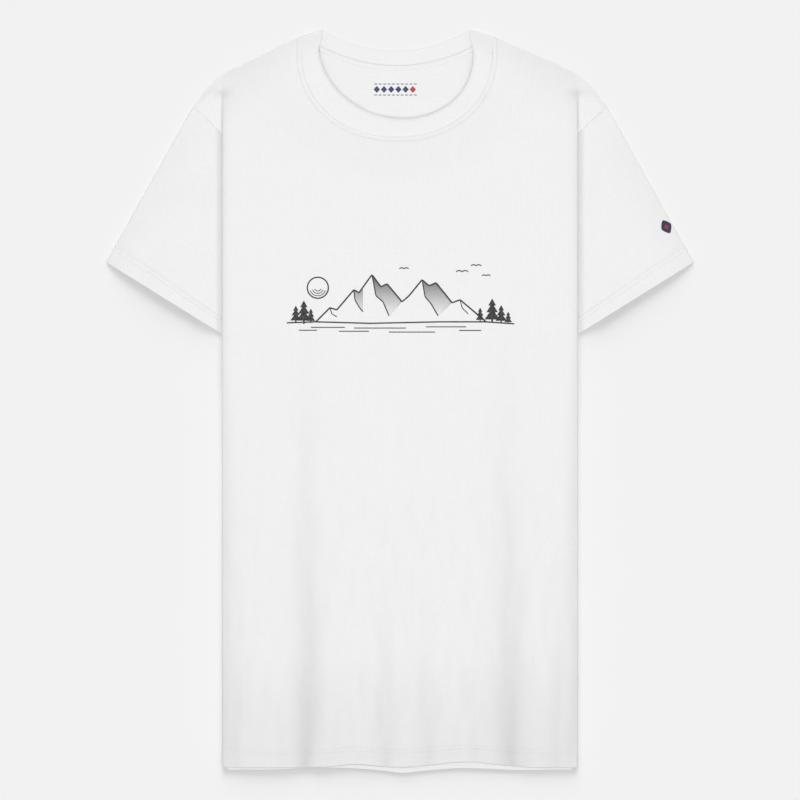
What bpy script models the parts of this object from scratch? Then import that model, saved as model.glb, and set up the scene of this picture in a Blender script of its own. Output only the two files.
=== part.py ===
"""White crew-neck T-shirt, size M, laid on its back with both sides turned under.

Frame: +Y runs from the hem to the neck, +X is the wearer's left, +Z is up, and the origin lies on
the floor under the middle of the shirt. Lengths below are in millimetres.

At each side the shirt is folded along a straight crease. From the top down the stack there is the
front panel, the back panel, the turned-under side (its back half, then its front half) and the
sleeve, which comes out from under the body.
"""
import math

import bpy
import numpy as np

MM = 0.001

# Cloth
CLOTH = 0.9
PITCH = 1.25
FLOOR_LEVEL = CLOTH / 2
SEAM_GAP = 0.4
NECK_GAP = 0.7
BACK_NECK_GAP = 1.1

# Body, as laid
HEM_FRONT_Y = -365.5
HEM_BACK_Y = -370.0
HEM_DEPTH = 17.0
CREASE_X = 177.5
CREASE_BEND = 8.0
SIDE_SEAM_X = 100.0
UNDERARM_Y = 125.5
CREASE_TOP_Y = 266.5
SLANT_START_Y = 260.0
CREASE_RISE = 7.0
CROWN = 3.5
CROWN_WIDTH = 70.0
BACK_EDGE_X = 173.0
BACK_SETTLE_WIDTH = 10.0
SIDE_TOP_Y = 216.0
SIDE_OUTER_X = 171.5

# Where the back climbs on to the turned-under side: how far inside its edge, over what width,
# the furthest out that this begins, and the length over which it comes down at the shoulder
BACK_RISE_INSET = 40.0
BACK_RISE_WIDTH = 26.0
BACK_RISE_MAX_X = 151.5
BACK_FALL_LENGTH = 64.0

# Where the sides climb on to the sleeve: how far outside its hem and seam, and over what width
SLEEVE_RISE_MARGIN = 90.0
SLEEVE_RISE_WIDTH = 70.0

# The front climbs over the same sleeve from this x on, over this width
FRONT_RISE_X = 90.0
FRONT_RISE_WIDTH = 60.0

# Shoulder outline: neck point, straight shoulder, rounded corner, sleeve's top edge
NECK_POINT = (97.0, 363.0)
NECK_FOLD_POINT = (74.0, 370.0)
SHOULDER_SLOPE = math.radians(25.0)
SLEEVE_SLOPE = math.radians(61.0)
SHOULDER_RADIUS = 75.0
SHOULDER_TAPER = 60.0
WING_TAPER = 20.0

# Sleeve: top of its armhole seam, outer tip of its hem and inner corner of its hem
SLEEVE_TOP = (207.5, 290.0)
SLEEVE_TIP = (292.5, 137.5)
SLEEVE_INNER = (131.5, 37.5)
SLEEVE_HEM_DEPTH = 17.0
SLEEVE_LOFT = 4.6

# The loft grows over these distances out from the crease and shares of the sleeve's two ways
LOFT_START = 3.0
LOFT_WIDTH = 28.0
LOFT_ACROSS = 0.13
LOFT_ALONG = 0.2
SLEEVE_ACROSS = (0.0, 0.04, 0.08, 0.13, 0.2, 0.3, 0.4, 0.5, 0.6, 0.7, 0.8, 0.9, 0.97)

# Neck rib: half width, depth and centre y of its sewn edge and of its free edge, the lean of the
# free edge towards the wearer's right, and the sag of the back's two edges
RIB_OUTER = (97.0, 89.0, 347.5)
RIB_OUTER_POWER = 2.3
RIB_INNER = (77.5, 69.0, 349.5)
RIB_LEAN = 0.1
RIB_LEAN_X = -4.0
BACK_INNER_SAG = 21.0
BACK_OUTER_SAG = 31.0
RIB_FRONT_POINTS = 29
RIB_BACK_POINTS = 15
RIB_BACK_REACH = 0.94
RIB_FOLD_POINTS = 5
RIB_FOLD_INSET = 3.0
TAPE_WIDTH = 5.0
TAPE_THICKNESS = 0.6
TAPE_HALF_LENGTH = 80.0

# Sleeve badge: shares of the sleeve from armhole to hem, and from its top edge down
BADGE_ALONG = (0.72, 0.79)
BADGE_ACROSS = (0.012, 0.062)
BADGE_THICKNESS = 0.6

# Long soft folds of the front: x, depth, width, y where the fold begins, y where it is full
FRONT_FOLDS = (
    (-91.5, 4.5, 14.0, 160.0, -230.0),
    (-16.5, 1.2, 12.0, -50.0, -300.0),
    (28.5, 1.2, 12.0, -180.0, -320.0),
    (112.5, 4.0, 16.0, 50.0, -250.0),
)

# Share of a panel's height where each zone of rows ends, and the rows in it, from the hem up;
# the zones are closer where the layers rise over the sleeve
ROW_ZONES = ((0.40, 8), (0.72, 11), (0.90, 5), (1.0, 5))

# Share of the height from which the columns lean towards the points of the top edge
FRONT_LEAN_START = 0.35
BACK_LEAN_START = 0.6

# Share of the back's columns that lie inside the turned-under side
BACK_INNER_COLUMNS = 0.6

# Points of each half row beyond the bend, round the crease and out to the armhole
BEND_STEPS = 13
WING_POINTS = 5
OUTER_POINTS = 10

# The turned-under side: rows below and above the y where its level begins to change, and columns
SIDE_ROWS = (7, 14)
SIDE_RISE_Y = -90.0
SIDE_COLUMNS = 7

WHITE_JERSEY = (0.86, 0.86, 0.86)
WHITE_RIB = (0.84, 0.84, 0.84)
WHITE_TAPE = (0.80, 0.80, 0.81)
NAVY_THREAD = (0.02, 0.035, 0.12)


def clear_scene():
    for thing in list(bpy.data.objects):
        bpy.data.objects.remove(thing, do_unlink=True)


def cloth_material(name, colour, roughness):
    material = bpy.data.materials.new(name)
    material.use_nodes = True
    shader = material.node_tree.nodes["Principled BSDF"]
    shader.inputs["Base Color"].default_value = (*colour, 1.0)
    shader.inputs["Roughness"].default_value = roughness
    shader.inputs["Metallic"].default_value = 0.0
    return material


def smooth(t):
    """Smooth step from 0 to 1."""
    t = np.clip(t, 0.0, 1.0)
    return t * t * (3.0 - 2.0 * t)


def shoulder_corner():
    """Centre of the rounded shoulder, and the x at which the round begins and ends."""
    start = np.array(NECK_POINT)
    down = np.array((math.cos(SHOULDER_SLOPE), -math.sin(SHOULDER_SLOPE)))
    up = np.array((-math.cos(SLEEVE_SLOPE), math.sin(SLEEVE_SLOPE)))
    tip = np.array(SLEEVE_TIP)
    along, _ = np.linalg.solve(np.column_stack((down, -up)), tip - start)
    corner = start + along * down
    cut = SHOULDER_RADIUS * math.tan((SLEEVE_SLOPE - SHOULDER_SLOPE) / 2)
    first = corner - cut * down
    last = corner - cut * up
    inward = np.array((-math.sin(SHOULDER_SLOPE), -math.cos(SHOULDER_SLOPE)))
    return first + SHOULDER_RADIUS * inward, first[0], last[0]


ROUND_CENTRE, ROUND_START_X, ROUND_END_X = shoulder_corner()


def shoulder_y(x):
    """Height of the outline over |x|: neck fold, shoulder, rounded corner, sleeve's top edge."""
    x = np.abs(x)
    neck_slope = (NECK_FOLD_POINT[1] - NECK_POINT[1]) / (NECK_POINT[0] - NECK_FOLD_POINT[0])
    neck = NECK_POINT[1] + (NECK_POINT[0] - x) * neck_slope
    shoulder = NECK_POINT[1] - (x - NECK_POINT[0]) * math.tan(SHOULDER_SLOPE)
    reach = np.clip(x - ROUND_CENTRE[0], -SHOULDER_RADIUS, SHOULDER_RADIUS)
    rounded = ROUND_CENTRE[1] + np.sqrt(SHOULDER_RADIUS ** 2 - reach ** 2)
    sleeve = SLEEVE_TIP[1] + (SLEEVE_TIP[0] - x) * math.tan(SLEEVE_SLOPE)
    pieces = [x < NECK_POINT[0], x < ROUND_START_X, x < ROUND_END_X]
    return np.select(pieces, [neck, shoulder, rounded], sleeve)


def seam_x(y):
    """Half width of the turned-under cloth's inner edge: side seam, then the armhole seam."""
    seam_ys = (UNDERARM_Y, CREASE_TOP_Y, SLEEVE_TOP[1])
    seam_xs = (SIDE_SEAM_X, CREASE_X, SLEEVE_TOP[0])
    return np.interp(y, seam_ys, seam_xs)


def side_of_line(x, y, start, end):
    """Distance of (|x|, y) from the line through start and end, positive on its left."""
    run = np.subtract(end, start)
    return (run[0] * (y - start[1]) - run[1] * (np.abs(x) - start[0])) / math.hypot(*run)


def sleeve_under(x, y):
    """1 where a sleeve lies under the body, falling to 0 well past its hem and its seam."""
    to_hem = side_of_line(x, y, SLEEVE_INNER, SLEEVE_TIP)
    to_seam = side_of_line(x, y, SLEEVE_INNER, (SIDE_SEAM_X, UNDERARM_Y)) * -1.0
    return smooth((np.minimum(to_hem, to_seam) + SLEEVE_RISE_MARGIN) / SLEEVE_RISE_WIDTH)


def side_level(x, y):
    """Height of the turned-under front half, over the sleeve or on the floor."""
    return FLOOR_LEVEL + 2 * PITCH * sleeve_under(x, y)


def back_level(x, y):
    """Height of the back panel: on the floor, and up over the turned-under side."""
    side_edge = np.minimum(seam_x(y), BACK_RISE_MAX_X)
    across = smooth((np.abs(x) - side_edge + BACK_RISE_INSET) / BACK_RISE_WIDTH)
    along = smooth((SLEEVE_TOP[1] - y) / BACK_FALL_LENGTH)
    lift = side_level(x, y) - FLOOR_LEVEL + 2 * PITCH
    return FLOOR_LEVEL + lift * across * along


def front_level(x, y):
    """Height of the front panel: crowned, gently folded, and low at the shoulders."""
    lift = 2 * PITCH * sleeve_under(x, y) * smooth((np.abs(x) - FRONT_RISE_X) / FRONT_RISE_WIDTH)
    crown = CROWN * smooth((CREASE_X - np.abs(x)) / CROWN_WIDTH)
    level = FLOOR_LEVEL + CREASE_RISE + lift + crown
    for fold_x, depth, width, begin_y, full_y in FRONT_FOLDS:
        grown = smooth((begin_y - y) / (begin_y - full_y))
        level = level - depth * grown * np.exp(-(((x - fold_x) / width) ** 2))
    edge_level = FLOOR_LEVEL + PITCH
    return edge_level + (level - edge_level) * smooth((shoulder_y(x) - y) / SHOULDER_TAPER)


def wing_level(x, y):
    """Height of the front panel outside the crease, between the shoulder and the armhole."""
    edge_level = FLOOR_LEVEL + PITCH
    return edge_level + PITCH * smooth((shoulder_y(x) - y) / WING_TAPER)


def ellipse_side(turn, half_width, depth, centre_y, power):
    """Point of a rounded U at a turn from 0, its bottom, to 1, its side."""
    angle = turn * math.pi / 2
    x = half_width * math.sin(angle) ** (2 / power)
    y = centre_y - depth * max(math.cos(angle), 0.0) ** (2 / power)
    return x, y


def grid_mesh(name, points, closed_rows=False):
    """Mesh of quads over a grid of points in millimetres, shape (rows, columns, 3)."""
    rows, columns, _ = points.shape
    index = np.arange(rows * columns).reshape(rows, columns)
    if closed_rows:
        index = np.hstack((index, index[:, :1]))
    quads = np.stack((index[:-1, :-1], index[:-1, 1:], index[1:, 1:], index[1:, :-1]), axis=-1)
    mesh = bpy.data.meshes.new(name)
    mesh.from_pydata((points.reshape(-1, 3) * MM).tolist(), [], quads.reshape(-1, 4).tolist())
    mesh.update()
    return mesh


def cloth_object(name, points, material, thickness=CLOTH, closed_rows=False):
    """Closed cloth solid: a grid surface thickened equally to both sides."""
    piece = bpy.data.objects.new(name, grid_mesh(name, points, closed_rows))
    bpy.context.scene.collection.objects.link(piece)
    piece.data.materials.append(material)
    piece.data.shade_smooth()
    thick = piece.modifiers.new("Cloth thickness", "SOLIDIFY")
    thick.thickness = thickness * MM
    thick.offset = 0.0
    return piece


def resample(path, count):
    """Points spaced evenly along a polyline."""
    steps = np.linalg.norm(np.diff(path, axis=0), axis=1)
    length = np.concatenate(([0.0], np.cumsum(steps)))
    wanted = np.linspace(0.0, length[-1], count)
    return np.column_stack([np.interp(wanted, length, path[:, axis]) for axis in range(3)])


def top_edge_points():
    """Top edge of the front panel's middle part, from the neck's bottom out to the crease."""
    half_width, depth, centre_y = RIB_OUTER
    half_width += NECK_GAP
    depth += NECK_GAP
    turns = np.linspace(0.0, 1.0, 10)
    edge = [ellipse_side(turn, half_width, depth, centre_y, RIB_OUTER_POWER) for turn in turns]
    for x in np.linspace(half_width, CREASE_X - CREASE_BEND, 6):
        edge.append((x, float(shoulder_y(x))))
    return np.array(edge)


def back_edge_points():
    """Top edge of the back panel's middle part, from the neck's bottom out to the crease."""
    half_width = NECK_POINT[0] + NECK_GAP
    edge = []
    for x in np.linspace(0.0, half_width, 9):
        edge.append((x, back_seam_y(x) - BACK_NECK_GAP))
    for x in np.linspace(half_width, BACK_EDGE_X - CREASE_BEND, 6)[1:]:
        edge.append((x, float(shoulder_y(x))))
    return np.array(edge)


def back_seam_y(x):
    """Sewn edge of the back rib: a shallow arc between the neck points."""
    return NECK_POINT[1] - BACK_OUTER_SAG * (1.0 - (x / NECK_POINT[0]) ** 2)


def row_fractions():
    """Shares of a panel's height at which its rows lie, from the hem to the top edge."""
    start = 0.0
    rows = [0.0]
    for end, count in ROW_ZONES:
        rows.extend(np.linspace(start, end, count)[1:])
        start = end
    return np.array(rows)


def front_row(edge, fraction, hem_y):
    """One half row of the front panel, from the centre out, round the crease and back under."""
    main_x = np.linspace(0.0, 1.0, len(edge)) * edge[-1, 0]
    lean = smooth((fraction - FRONT_LEAN_START) / (1.0 - FRONT_LEAN_START))
    x = main_x * (1.0 - lean) + edge[:, 0] * lean
    y = hem_y + (edge[:, 1] - hem_y) * fraction
    row_y = float(y[-1])
    top = float(front_level(CREASE_X - CREASE_BEND, row_y))
    end_y, follow = slanted_row_end(row_y, edge[-1, 1])
    end_x = float(seam_x(end_y)) - SEAM_GAP
    outward = end_x > CREASE_X
    low = float(wing_level(CREASE_X, row_y)) if outward else float(side_level(CREASE_X, row_y))
    radius = max((top - low) / 2, 0.05)
    turn = max(min((end_x - CREASE_X) / radius, 1.0), -1.0)
    path = [(edge[-1, 0], top)]
    for angle in np.linspace(0.0, math.pi, BEND_STEPS):
        way = 1.0 if angle < math.pi / 2 else -turn
        bend_x = CREASE_X - way * radius * (1.0 - math.sin(angle))
        path.append((bend_x, low + radius * (1.0 + math.cos(angle))))
    if outward:
        for x_out in np.linspace(path[-1][0], end_x, WING_POINTS)[1:]:
            path.append((x_out, low))
    path = np.array(path)
    flat = np.column_stack((path[:, 0], np.zeros(len(path)), path[:, 1]))
    points = resample(flat, OUTER_POINTS)
    points[:, 1] = slanted_row_y(points[:, 0], row_y, end_y, follow, edge[-1])
    if outward:
        far = points[:, 0] > CREASE_X + radius
        points[far, 2] = wing_level(points[far, 0], points[far, 1])
    return x, y, points[1:]


def slanted_row_end(row_y, corner_y):
    """Where a row ends on the armhole seam, and how far it has turned towards the shoulder."""
    follow = max(row_y - SLANT_START_Y, 0.0) / (corner_y - SLANT_START_Y)
    return row_y - follow * (corner_y - SLEEVE_TOP[1]), follow ** 3


def slanted_row_y(x, row_y, end_y, follow, corner):
    """Drop of a row beyond the crease: straight low down, along the shoulder at the top."""
    straight = (row_y - end_y) * np.linspace(0.0, 1.0, len(x))
    shoulder = corner[1] - shoulder_y(np.maximum(x, corner[0]))
    return row_y - (1.0 - follow) * straight - follow * shoulder


def panel_points(edge, half_row, level, fractions, hem_y):
    """Whole panel: each half row is worked out for the wearer's left and right sides."""
    rows = []
    for fraction in fractions:
        x, y, outer = half_row(edge, fraction, hem_y)
        right = np.column_stack((x, y, level(x, y)))
        left = np.column_stack((-x, y, level(-x, y)))
        mirrored = outer * (-1.0, 1.0, 1.0)
        rows.append(np.vstack((mirrored[::-1], left[:0:-1], right, outer)))
    return np.array(rows)


def back_row(edge, fraction, hem_y):
    """One half row of the back panel, out to the crease or, near the shoulder, to the seam."""
    y = hem_y + (edge[:, 1] - hem_y) * fraction
    row_y = float(y[-1])
    inner = min(float(seam_x(row_y)), BACK_RISE_MAX_X)
    shape = np.linspace(0.0, 1.0, len(edge))
    split = np.interp(shape, (0.0, BACK_INNER_COLUMNS, 1.0), (0.0, inner, edge[-1, 0]))
    lean = smooth((fraction - BACK_LEAN_START) / (1.0 - BACK_LEAN_START))
    x = split * (1.0 - lean) + edge[:, 0] * lean
    end_y, follow = slanted_row_end(row_y, edge[-1, 1])
    end_x = max(float(seam_x(end_y)) - PITCH * 2, BACK_EDGE_X)
    out_x = np.linspace(edge[-1, 0], end_x, WING_POINTS)
    out_y = slanted_row_y(out_x, row_y, end_y, follow, edge[-1])
    settle = 1.0 - smooth((out_x - BACK_EDGE_X + LOFT_START) / BACK_SETTLE_WIDTH)
    level = FLOOR_LEVEL + (back_level(out_x, out_y) - FLOOR_LEVEL) * settle
    if end_x <= BACK_EDGE_X:
        level = back_level(out_x, out_y)
    return x, y, np.column_stack((out_x, out_y, level))[1:]


def turned_side_points(side):
    """The side turned under: its back half, round the seam, then its front half beneath."""
    rows = []
    low = np.linspace(HEM_FRONT_Y, SIDE_RISE_Y, SIDE_ROWS[0])
    high = np.linspace(SIDE_RISE_Y, SIDE_TOP_Y, SIDE_ROWS[1])
    for y in np.concatenate((low, high[1:])):
        inner = float(seam_x(y)) + 2 * PITCH
        upper_x = np.linspace(SIDE_OUTER_X, inner, SIDE_COLUMNS)
        upper = np.column_stack((upper_x, np.full(SIDE_COLUMNS, y), side_level(upper_x, y) + PITCH))
        lower = upper[::-1] - (0.0, 0.0, PITCH)
        middle = (upper[-1] + lower[0]) / 2 - (PITCH / 2, 0.0, 0.0)
        rows.append(np.vstack((upper, middle, lower)))
    return np.array(rows) * (side, 1.0, 1.0)


def sleeve_plan(along, across):
    """Plan position on the sleeve: along from the armhole to the hem, across from the top edge."""
    seam = np.array((SLEEVE_TOP, (CREASE_X, CREASE_TOP_Y), (SIDE_SEAM_X, UNDERARM_Y)))
    upper = math.dist(seam[0], seam[1])
    shares = (0.0, upper / (upper + math.dist(seam[1], seam[2])), 1.0)
    armhole = np.column_stack([np.interp(across, shares, seam[:, axis]) for axis in (0, 1)])
    tip = np.array(SLEEVE_TIP)
    hem = tip + np.outer(across, np.array(SLEEVE_INNER) - tip)
    gap = SEAM_GAP * 3 / math.dist(SLEEVE_TOP, SLEEVE_TIP)
    return armhole + (hem - armhole) * (gap + along * (1.0 - gap))


def sleeve_level(plan, along, across):
    """Height of the sleeve's upper layer: it puffs up away from the crease, edge and seam."""
    outward = smooth((plan[:, 0] - CREASE_X - LOFT_START) / LOFT_WIDTH)
    loft = SLEEVE_LOFT * outward * smooth(across / LOFT_ACROSS) * smooth(along / LOFT_ALONG)
    return FLOOR_LEVEL + PITCH + loft


def sleeve_ring(along, side):
    """One closed ring of the sleeve: over its upper layer, round both edges, under its lower."""
    across = np.array(SLEEVE_ACROSS)
    plan = sleeve_plan(along, across)
    upper = np.column_stack((plan, sleeve_level(plan, along, across)))
    lower = np.column_stack((plan, np.full(len(plan), FLOOR_LEVEL)))[::-1]
    outward = (plan[0] - plan[1]) / np.linalg.norm(plan[0] - plan[1])
    top_turn = np.append(plan[0] + outward * PITCH / 2, FLOOR_LEVEL + PITCH / 2)
    seam_turn = np.append(plan[-1] - outward * PITCH / 2, FLOOR_LEVEL + PITCH / 2)
    ring = np.vstack((top_turn, upper, seam_turn, lower))
    return ring * (side, 1.0, 1.0)


def sleeve_points(side, start, end, rings):
    return np.array([sleeve_ring(along, side) for along in np.linspace(start, end, rings)])


def rib_front(turn, width):
    """Front rib at a turn from -1 to 1 and a width from 0, its free edge, to 1, its sewn edge."""
    side = -1.0 if turn < 0 else 1.0
    part = abs(turn)
    inner_x, inner_y = ellipse_side(part, *RIB_INNER, 2.0)
    outer_x, outer_y = ellipse_side(part, *RIB_OUTER, RIB_OUTER_POWER)
    lean = RIB_LEAN_X + RIB_LEAN * (RIB_INNER[2] - inner_y)
    inner = np.array((side * inner_x + lean, inner_y))
    outer = np.array((side * outer_x, outer_y))
    return inner + (outer - inner) * width


def rib_back(share, width):
    """Back rib at a share from -1 to 1 across the neck."""
    inner_x = share * NECK_FOLD_POINT[0] + RIB_LEAN_X
    inner = np.array((inner_x, NECK_FOLD_POINT[1] - BACK_INNER_SAG * (1.0 - share ** 2)))
    outer = np.array((share * NECK_POINT[0], back_seam_y(share * NECK_POINT[0])))
    return inner + (outer - inner) * width


def rib_fold(side, width):
    """Half round of the rib's fold at a shoulder, from the front layer down to the back's."""
    run = np.subtract(NECK_POINT, NECK_FOLD_POINT)
    outward = np.array((-run[1] * side, run[0])) / math.hypot(*run)
    radius = PITCH / 2
    angles = np.linspace(0.0, math.pi, RIB_FOLD_POINTS)
    centre = rib_back(side, width) - outward * radius
    plan = centre + np.outer(np.sin(angles) * radius, outward)
    fold = np.column_stack((plan, FLOOR_LEVEL + (1.0 + np.cos(angles)) * radius))
    before = centre - outward * RIB_FOLD_INSET
    return np.vstack(((*before, float(front_level(*before))), fold))


def rib_line(width):
    """Closed line round the neck: front, over the shoulder, back, over the other shoulder."""
    front = np.array([rib_front(turn, width) for turn in np.linspace(-1.0, 1.0, RIB_FRONT_POINTS)])
    front = np.column_stack((front, front_level(front[:, 0], front[:, 1])))
    shares = np.linspace(RIB_BACK_REACH, -RIB_BACK_REACH, RIB_BACK_POINTS)
    back = np.array([(*rib_back(share, width), FLOOR_LEVEL) for share in shares])
    return np.vstack((front, rib_fold(1.0, width), back, rib_fold(-1.0, width)[::-1]))


def rib_points():
    return np.array([rib_line(width) for width in np.linspace(0.0, 1.0, 4)])


def tape_points():
    """Strip over the back neck seam, on the inside of the shirt."""
    xs = np.linspace(-TAPE_HALF_LENGTH, TAPE_HALF_LENGTH, 17)
    level = CLOTH + SEAM_GAP + TAPE_THICKNESS / 2
    rows = []
    for across in (TAPE_WIDTH / 2, -TAPE_WIDTH / 2):
        rows.append(np.column_stack((xs, back_seam_y(xs) + across, np.full(len(xs), level))))
    return np.array(rows)


def badge_points():
    """Small embroidered badge on the upper layer of the wearer's left sleeve."""
    across = np.linspace(*BADGE_ACROSS, 5)
    rows = []
    for along in np.linspace(*BADGE_ALONG, 4):
        plan = sleeve_plan(along, across)
        lift = CLOTH / 2 + SEAM_GAP + BADGE_THICKNESS / 2
        rows.append(np.column_stack((plan, sleeve_level(plan, along, across) + lift)))
    return np.array(rows)


def build_front(jersey):
    edge = top_edge_points()
    hem_share = HEM_DEPTH / (edge[-1, 1] - HEM_FRONT_Y)
    gap_share = SEAM_GAP / (edge[-1, 1] - HEM_FRONT_Y)
    rows = row_fractions()
    body_rows = np.concatenate(([hem_share + gap_share], rows[rows > 2 * hem_share]))
    body = panel_points(edge, front_row, front_level, body_rows, HEM_FRONT_Y)
    hem = panel_points(edge, front_row, front_level, (0.0, hem_share), HEM_FRONT_Y)
    cloth_object("front_panel", body, jersey)
    cloth_object("front_bottom_hem", hem, jersey)


def build_back(jersey):
    edge = back_edge_points()
    hem_share = HEM_DEPTH / (edge[-1, 1] - HEM_BACK_Y)
    gap_share = SEAM_GAP / (edge[-1, 1] - HEM_BACK_Y)
    rows = row_fractions()
    body_rows = np.concatenate(([hem_share + gap_share], rows[rows > 2 * hem_share]))
    body = panel_points(edge, back_row, back_level, body_rows, HEM_BACK_Y)
    hem = panel_points(edge, back_row, back_level, (0.0, hem_share), HEM_BACK_Y)
    cloth_object("back_panel", body, jersey)
    cloth_object("back_bottom_hem", hem, jersey)


def build_sleeves(jersey):
    length = math.dist(SLEEVE_TOP, SLEEVE_TIP)
    hem_start = 1.0 - SLEEVE_HEM_DEPTH / length
    gap = SEAM_GAP / length
    for name, side in (("left", 1.0), ("right", -1.0)):
        sleeve = sleeve_points(side, 0.0, hem_start - gap, 9)
        hem = sleeve_points(side, hem_start, 1.0, 2)
        cloth_object(name + "_sleeve", sleeve, jersey, closed_rows=True)
        cloth_object(name + "_sleeve_hem", hem, jersey, closed_rows=True)
        cloth_object(name + "_side_turned_under", turned_side_points(side), jersey)


def build():
    clear_scene()
    jersey = cloth_material("white cotton jersey", WHITE_JERSEY, 0.9)
    rib = cloth_material("white cotton rib", WHITE_RIB, 0.9)
    tape = cloth_material("white neck tape", WHITE_TAPE, 0.85)
    thread = cloth_material("navy embroidery thread", NAVY_THREAD, 0.6)
    build_front(jersey)
    build_back(jersey)
    build_sleeves(jersey)
    cloth_object("neck_rib", rib_points(), rib, closed_rows=True)
    cloth_object("neck_tape", tape_points(), tape, thickness=TAPE_THICKNESS)
    cloth_object("sleeve_badge", badge_points(), thread, thickness=BADGE_THICKNESS)


build()
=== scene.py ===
# %% [markdown]
# # A white crew-neck T-shirt, laid flat
# The shirt lies on its back with its front up. Both sides are turned under along straight creases,
# so the sleeves come out from beneath the body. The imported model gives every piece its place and
# size. This notebook makes the cloth itself: knitted jersey with folds, a ribbed collar, turned and
# stitched hems, a thin printed drawing and a small embroidered patch.

# %% Load the measured frame
import math

import bpy
import numpy as np
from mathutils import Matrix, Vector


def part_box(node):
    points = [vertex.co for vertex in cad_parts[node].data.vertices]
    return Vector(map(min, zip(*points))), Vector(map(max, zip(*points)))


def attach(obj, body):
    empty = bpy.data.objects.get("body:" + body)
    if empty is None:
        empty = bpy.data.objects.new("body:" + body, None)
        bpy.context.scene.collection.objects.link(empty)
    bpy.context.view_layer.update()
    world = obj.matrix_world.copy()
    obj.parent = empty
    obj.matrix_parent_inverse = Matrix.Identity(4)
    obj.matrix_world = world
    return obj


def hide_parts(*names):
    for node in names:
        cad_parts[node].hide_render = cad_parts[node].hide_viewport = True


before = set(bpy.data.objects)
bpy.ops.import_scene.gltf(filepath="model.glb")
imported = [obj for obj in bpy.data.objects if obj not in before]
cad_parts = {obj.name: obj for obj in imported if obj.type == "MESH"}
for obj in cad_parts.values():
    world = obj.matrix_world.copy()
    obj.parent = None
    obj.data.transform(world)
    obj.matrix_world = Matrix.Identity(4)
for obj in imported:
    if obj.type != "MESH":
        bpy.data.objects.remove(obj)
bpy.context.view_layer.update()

MM = 0.001
print("frame nodes", sorted(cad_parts))


def node_box(node):
    """Lowest and highest corner of a node of the frame, in millimetres."""
    low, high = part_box(node)
    return np.array(low) / MM, np.array(high) / MM


# %% [markdown]
# ## The measures of the laid shirt
# A pattern cutter would name a few lengths and work out the rest. The hems' edges and the crease come
# from the frame, and the other lengths are those of a size M shirt. All are in millimetres: +X is
# the wearer's left, +Y runs from hem to neck and +Z is up. The stack at each side holds four layers,
# one pitch apart, and a sleeve adds two more below them.

# %% Name the measures
CLOTH = 0.9
PITCH = 1.25
FLOOR_LEVEL = CLOTH / 2
HEM_FRONT_Y = node_box("front_bottom_hem")[0][1]
HEM_BACK_Y = node_box("back_bottom_hem")[0][1]
CREASE_X = node_box("front_bottom_hem")[1][0] - CLOTH / 2
SIDE_SEAM_X = 100.0
UNDERARM_Y = 125.5
CREASE_TOP_Y = 266.5
SLANT_START_Y = 260.0
BACK_EDGE_X = 173.0
SIDE_TOP_Y = 216.0
SIDE_OUTER_X = 171.5
NECK_POINT = (97.0, 363.0)
NECK_FOLD_POINT = (74.0, 370.0)
SHOULDER_SLOPE = math.radians(25.0)
SLEEVE_SLOPE = math.radians(61.0)
SHOULDER_RADIUS = 75.0
SLEEVE_TOP = (207.5, 290.0)
SLEEVE_TIP = (292.5, 137.5)
SLEEVE_INNER = (131.5, 37.5)
SLEEVE_LENGTH = math.dist(SLEEVE_TOP, SLEEVE_TIP)
SLEEVE_RUN = 189.0
SIDES = (("left", 1.0), ("right", -1.0))
JERSEY = 0.65
HEM_JERSEY = 1.3
print("crease at", round(CREASE_X, 1), "hems at", round(HEM_FRONT_Y, 1), round(HEM_BACK_Y, 1))


# %% [markdown]
# ## Small helpers for shapes
# Cloth has no corners in its height: every rise and fall is a smooth step, a bell or a few long
# waves. Short functions give those, and the rest of the notebook only combines them.

# %% Smooth steps, bells, ripples and blends
def smooth(t):
    """Smooth step: 0 below 0, 1 above 1, and 3t^2 - 2t^3 between."""
    t = np.clip(t, 0.0, 1.0)
    return t * t * (3.0 - 2.0 * t)


def bell(t):
    """Bell curve, e to the power of minus t squared."""
    return np.exp(-np.square(t))


def blend(first, second, share):
    """Value between two others: the first at a share of 0, the second at 1."""
    return first + (second - first) * share


def share_of(t, start, full):
    """Straight rise from 0 at start to 1 at full, held level outside them."""
    return np.clip((t - start) / (full - start), 0.0, 1.0)


def run_length(steps):
    """Distance run along each row of steps, from 0 at its first point."""
    return np.hstack((np.zeros((len(steps), 1)), np.cumsum(steps, axis=1)))


def ripple(x, y, size, seed, waves=7):
    """Unevenness from about -1 to 1: the mean of waves about size long in seeded directions."""
    total = 0.0
    for turn, phase, stretch in np.random.default_rng(seed).uniform(0.0, 1.0, (waves, 3)):
        along = x * math.cos(2 * math.pi * turn) + y * math.sin(2 * math.pi * turn)
        total = total + np.sin(2 * math.pi * (along / (size * (0.7 + 0.6 * stretch)) + phase))
    return total / math.sqrt(waves)


# %% [markdown]
# ## Outlines of the laid shirt
# The outline above the body is the shoulder seam: a straight slope from the neck, a round corner
# where the shoulder ends, and the straight top edge of the sleeve. The armhole and the side seam lie
# below the body and bound the cloth that is turned under.

# %% Shoulder, seams and where the sleeve lies under the body
def shoulder_corner():
    """Centre of the rounded shoulder, and the x at which the round begins and ends."""
    down = np.array((math.cos(SHOULDER_SLOPE), -math.sin(SHOULDER_SLOPE)))
    up = np.array((-math.cos(SLEEVE_SLOPE), math.sin(SLEEVE_SLOPE)))
    start = np.array(NECK_POINT)
    along, _ = np.linalg.solve(np.column_stack((down, -up)), np.array(SLEEVE_TOP) - start)
    corner = start + along * down
    cut = SHOULDER_RADIUS * math.tan((SLEEVE_SLOPE - SHOULDER_SLOPE) / 2)
    first = corner - cut * down
    last = corner - cut * up
    inward = np.array((-math.sin(SHOULDER_SLOPE), -math.cos(SHOULDER_SLOPE)))
    return first + SHOULDER_RADIUS * inward, first[0], last[0]


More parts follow.
